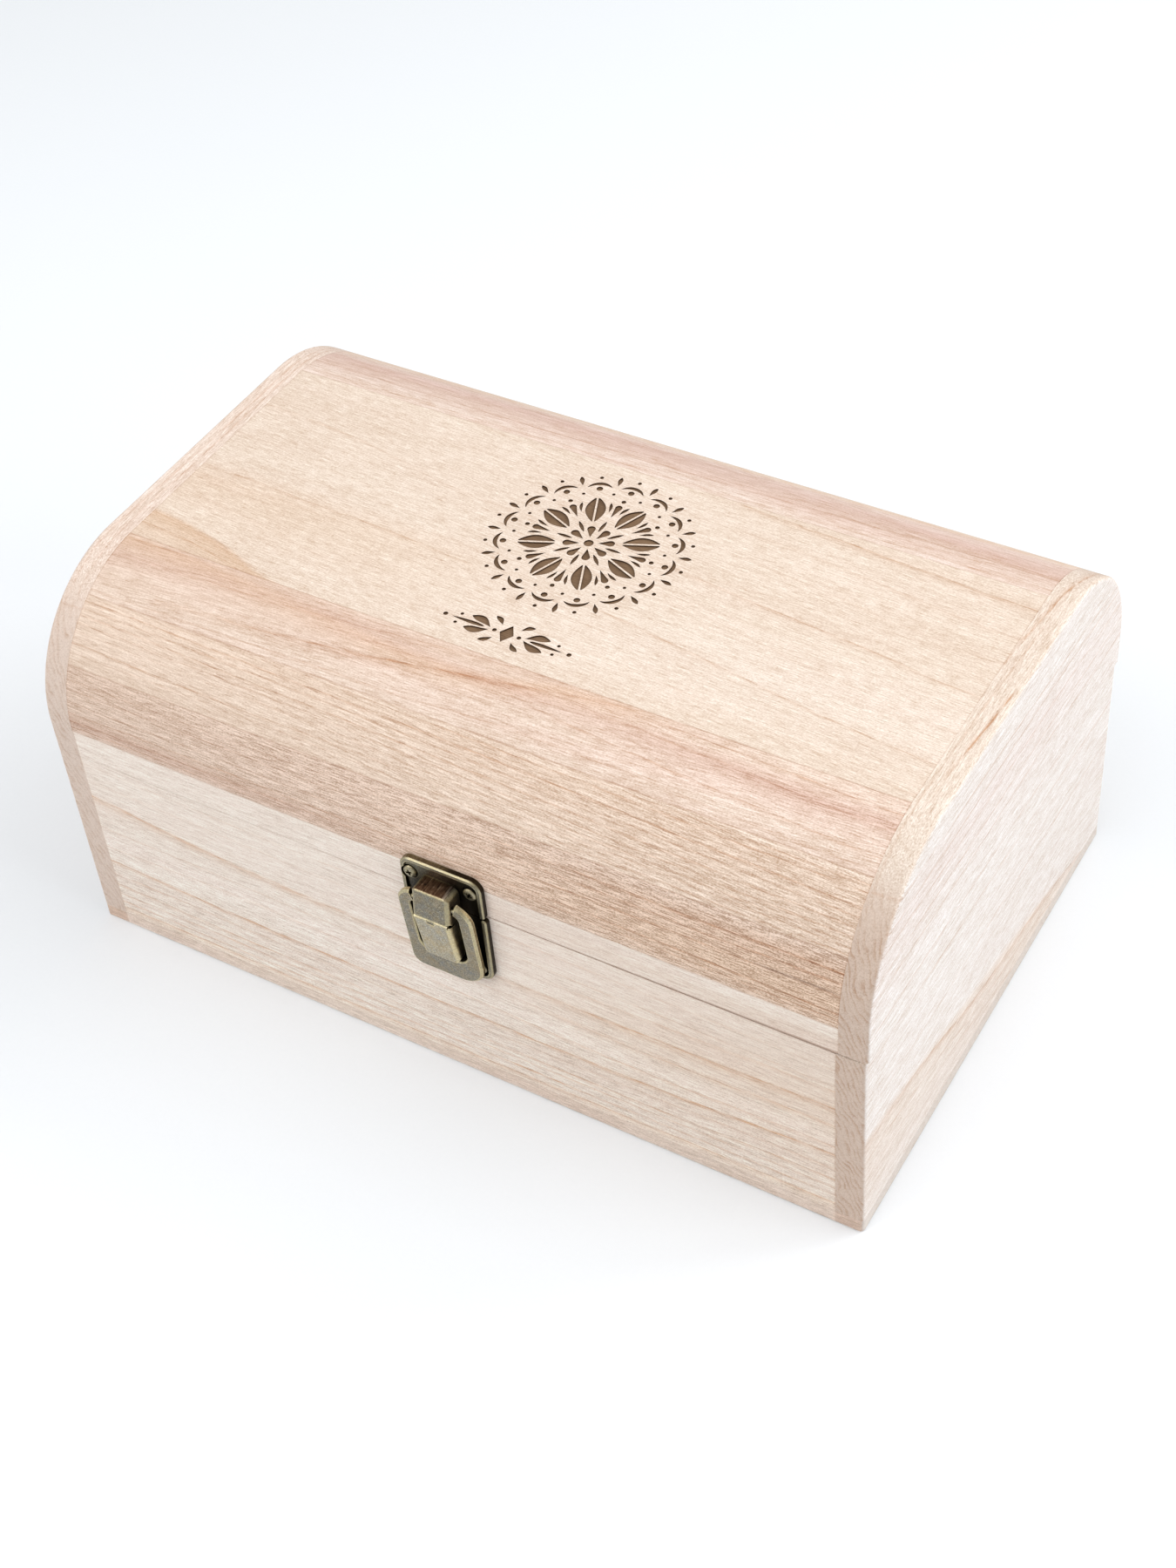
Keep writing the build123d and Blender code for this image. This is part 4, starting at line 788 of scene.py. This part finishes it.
# ------------------------------------------------------------------ brass
def brass(name, seed, wear_and_highlight=1.0, tone=1.0, reach=0.0065, warm=0.0, round_highlight_gain=0.85, gild=1.0):
    """Antiqued brass plate: mottled grey-olive patina; brass rubbed through at the edges, with painted highlight on
    them as well; near black in the recesses, partly dark patina and partly painted shade.
    """
    g = G(name)
    X, Y, Z = g.split(g.tc.outputs["Object"])
    X, Y, Z = g.mul(X, 1000.0), g.mul(Y, 1000.0), g.mul(Z, 1000.0)
    mm = g.vec(X, Y, g.add(Z, seed))
    d = g.sub(g.mul(Y, -1.0), 100.0)
    nx, ny, nz = g.split(g.tc.outputs["Normal"])
    big = g.noise(mm, 0.20, 2.0, 0.5)
    mot = g.noise(mm, 0.75, 3.0, 0.6)
    grit = g.noise(mm, 2.6, 3.0, 0.7)
    fleck = g.map(g.noise(mm, 3.6, 2.0, 0.6), 0.56, 0.66)
    geo = g.t.nodes.new("ShaderNodeNewGeometry")
    bev = g.t.nodes.new("ShaderNodeBevel")
    bev.samples = 8
    bev.inputs["Radius"].default_value = 0.00095
    dot = g.t.nodes.new("ShaderNodeVectorMath")
    dot.operation = "DOT_PRODUCT"
    g.put(dot.inputs[0], bev.outputs[0])
    g.put(dot.inputs[1], geo.outputs["Normal"])
    # edges found by the bevel: rubbed-through wear and painted highlight together
    edge = g.map(dot.outputs["Value"], 0.996, 0.90, 0, 1, True)
    edge = g.mul(edge, g.map(g.mad(grit, 0.5, g.mul(mot, 0.5)), 0.36, 0.56, 0.50 * wear_and_highlight, 1.0 * wear_and_highlight))
    # sides of the stampings keep the marks of drawing and shearing, square to the face
    side = g.map(g.math("ABSOLUTE", ny), 0.80, 0.45, 0, 1, True)
    rub = g.noise(g.vec(g.mul(g.add(X, g.mul(Z, 0.9)), 1 / 0.55), g.mul(Y, 1 / 9.0), seed + 5), 1.0, 2.0, 0.6)
    # ambient occlusion picks the recesses for the near black: dark patina and painted shade together
    ao = g.t.nodes.new("ShaderNodeAmbientOcclusion")
    ao.samples = 8
    ao.inputs["Distance"].default_value = reach
    cav = g.map(ao.outputs["AO"], 0.12, 0.72, 1, 0, True)
    def dim(r, gg, b):
        return tuple(min(1.0, c * tone) for c in srgb(r, gg, b))

    patina = g.ramp(g.mad(big, 0.40, g.mul(mot, 0.60)), [
        (0.34, dim(116, 119, 117)), (0.45, dim(137, 133, 122)), (0.55, dim(146, 137, 116)), (0.68, dim(136, 120, 92))])
    patina = g.mix(g.map(grit, 0.42, 0.60, 0.0, 0.72), patina, dim(78, 72, 62))
    patina = g.mix(g.mul(fleck, 0.75), patina, dim(206, 199, 178))
    pits = g.map(g.noise(mm, 1.7, 2.0, 0.55), 0.36, 0.29, 0, 1, True)
    patina = g.mix(g.mul(pits, 0.6), patina, dim(62, 56, 52))
    patina = g.mix(g.map(g.noise(mm, 0.11, 2.0, 0.5), 0.48, 0.62, 0.0, 0.22 + warm), patina, dim(152, 132, 94))
    rub2 = g.mad(rub, 0.55, g.mul(mot, 0.45))
    sidec = g.ramp(rub2, [(0.36, srgb(92, 76, 54)), (0.50, srgb(142, 122, 88)), (0.62, srgb(186, 168, 128))])
    patina = g.mix(g.mul(side, 0.70), patina, sidec)
    # the nose's top is painted a streaked copper brown, partly patina and partly a painted dark reflection; towards its
    # right end it is painted lighter
    copper_and_reflection = g.ramp(rub2, [(0.36, srgb(52, 37, 27)), (0.46, srgb(92, 68, 52)), (0.56, srgb(116, 90, 70)), (0.65, srgb(168, 148, 126))])
    copper_and_reflection = g.mix(g.map(X, 9.6, 11.6, 0.0, 0.75, True), copper_and_reflection, g.ramp(rub, [(0.38, srgb(92, 80, 66)), (0.62, srgb(214, 206, 190))]))
    nose = g.mul(g.map(nz, 0.60, 0.85, 0, 1, True), g.mul(g.map(Z, 94.6, 95.6), g.map(Z, 98.6, 97.9)))
    nose = g.mul(nose, g.map(g.math("ABSOLUTE", g.sub(X, 5.65)), 7.4, 6.9))
    patina = g.mix(nose, patina, copper_and_reflection)
    gold_wear_and_highlight = g.ramp(grit, [(0.3, srgb(188 * gild, 172 * gild, 126 * gild)), (0.7, srgb(238 * gild, 227 * gild, 186 * gild))])
    # painted highlight: rounded and bevelled edges, found by the lean of their normals, are painted light gold; the
    # edges found by the bevel get the same gold, partly rubbed-through wear and partly painted highlight
    lean = g.maxi(g.math("ABSOLUTE", nx), g.math("ABSOLUTE", nz))
    round_highlight = g.mul(g.map(lean, 0.20, 0.42, 0, 1, True), g.map(lean, 0.97, 0.84, 0, 1, True))
    round_highlight = g.mul(round_highlight, g.map(g.mad(grit, 0.5, g.mul(mot, 0.5)), 0.38, 0.56, 0.35, round_highlight_gain))
    col = g.mix(g.maxi(edge, round_highlight), patina, gold_wear_and_highlight)
    # painted shade: the plates' floors are painted near black, darkest beside the nose where shade falls; the recesses
    # found by ambient occlusion are painted the same dark, partly dark patina and partly painted shade
    well = g.mul(g.map(d, 1.9, 1.5, 0, 1, True), g.map(Y, 0.0, -50.0, 0, 1, True))
    well = g.mul(well, g.map(X, 2.0, 13.0, 0.40, 0.93, True))
    well = g.mul(well, g.map(X, 30.0, 28.0, 0, 1, True))
    col = g.mix(g.math("MAXIMUM", g.mul(cav, 0.95), well), col, srgb(28, 20, 14))
    g.put(g.bsdf.inputs["Base Color"], col)
    g.bsdf.inputs["Metallic"].default_value = 1.0
    g.put(g.bsdf.inputs["Roughness"], g.map(g.mad(edge, -0.4, mot), 0.0, 0.8, 0.26, 0.50))
    h = g.mad(grit, 0.7, g.mul(mot, 0.8))
    h = g.mad(rub, g.mul(side, 0.8), h)
    g.put(g.bsdf.inputs["Normal"], g.bump(h, 0.55, 0.00012))
    return g.mat


brass_a = brass("antique_brass", 1.0, wear_and_highlight=0.85, round_highlight_gain=0.62, gild=0.86)
brass_t = brass("antique_brass_tongue", 7.0, tone=1.70, warm=0.06)
brass_r = brass("antique_brass_ring", 11.0, tone=1.10, round_highlight_gain=0.70)
brass_s = brass("screw_brass", 5.0, wear_and_highlight=0.8, tone=1.25, reach=0.0016, round_highlight_gain=0.55, gild=0.84)
for n in nodes:
    if n.startswith("latch_") or n.startswith("hinge_"):
        assign(n, brass_s if ("screw" in n or "pin" in n) else brass_t if n == "latch_tongue" else brass_r if n == "latch_ring" else brass_a)

# the floor: matt white paper
g = G("white_sweep")
fp = g.noise(g.tc.outputs["Object"], 700.0, 2.0)
g.put(g.bsdf.inputs["Base Color"], g.ramp(fp, [(0.3, (0.806, 0.834, 0.862)), (0.7, (0.814, 0.842, 0.870))]))
g.bsdf.inputs["Roughness"].default_value = 0.9
g.bsdf.inputs["Specular IOR Level"].default_value = 0.1
floor.data.materials.append(g.mat)
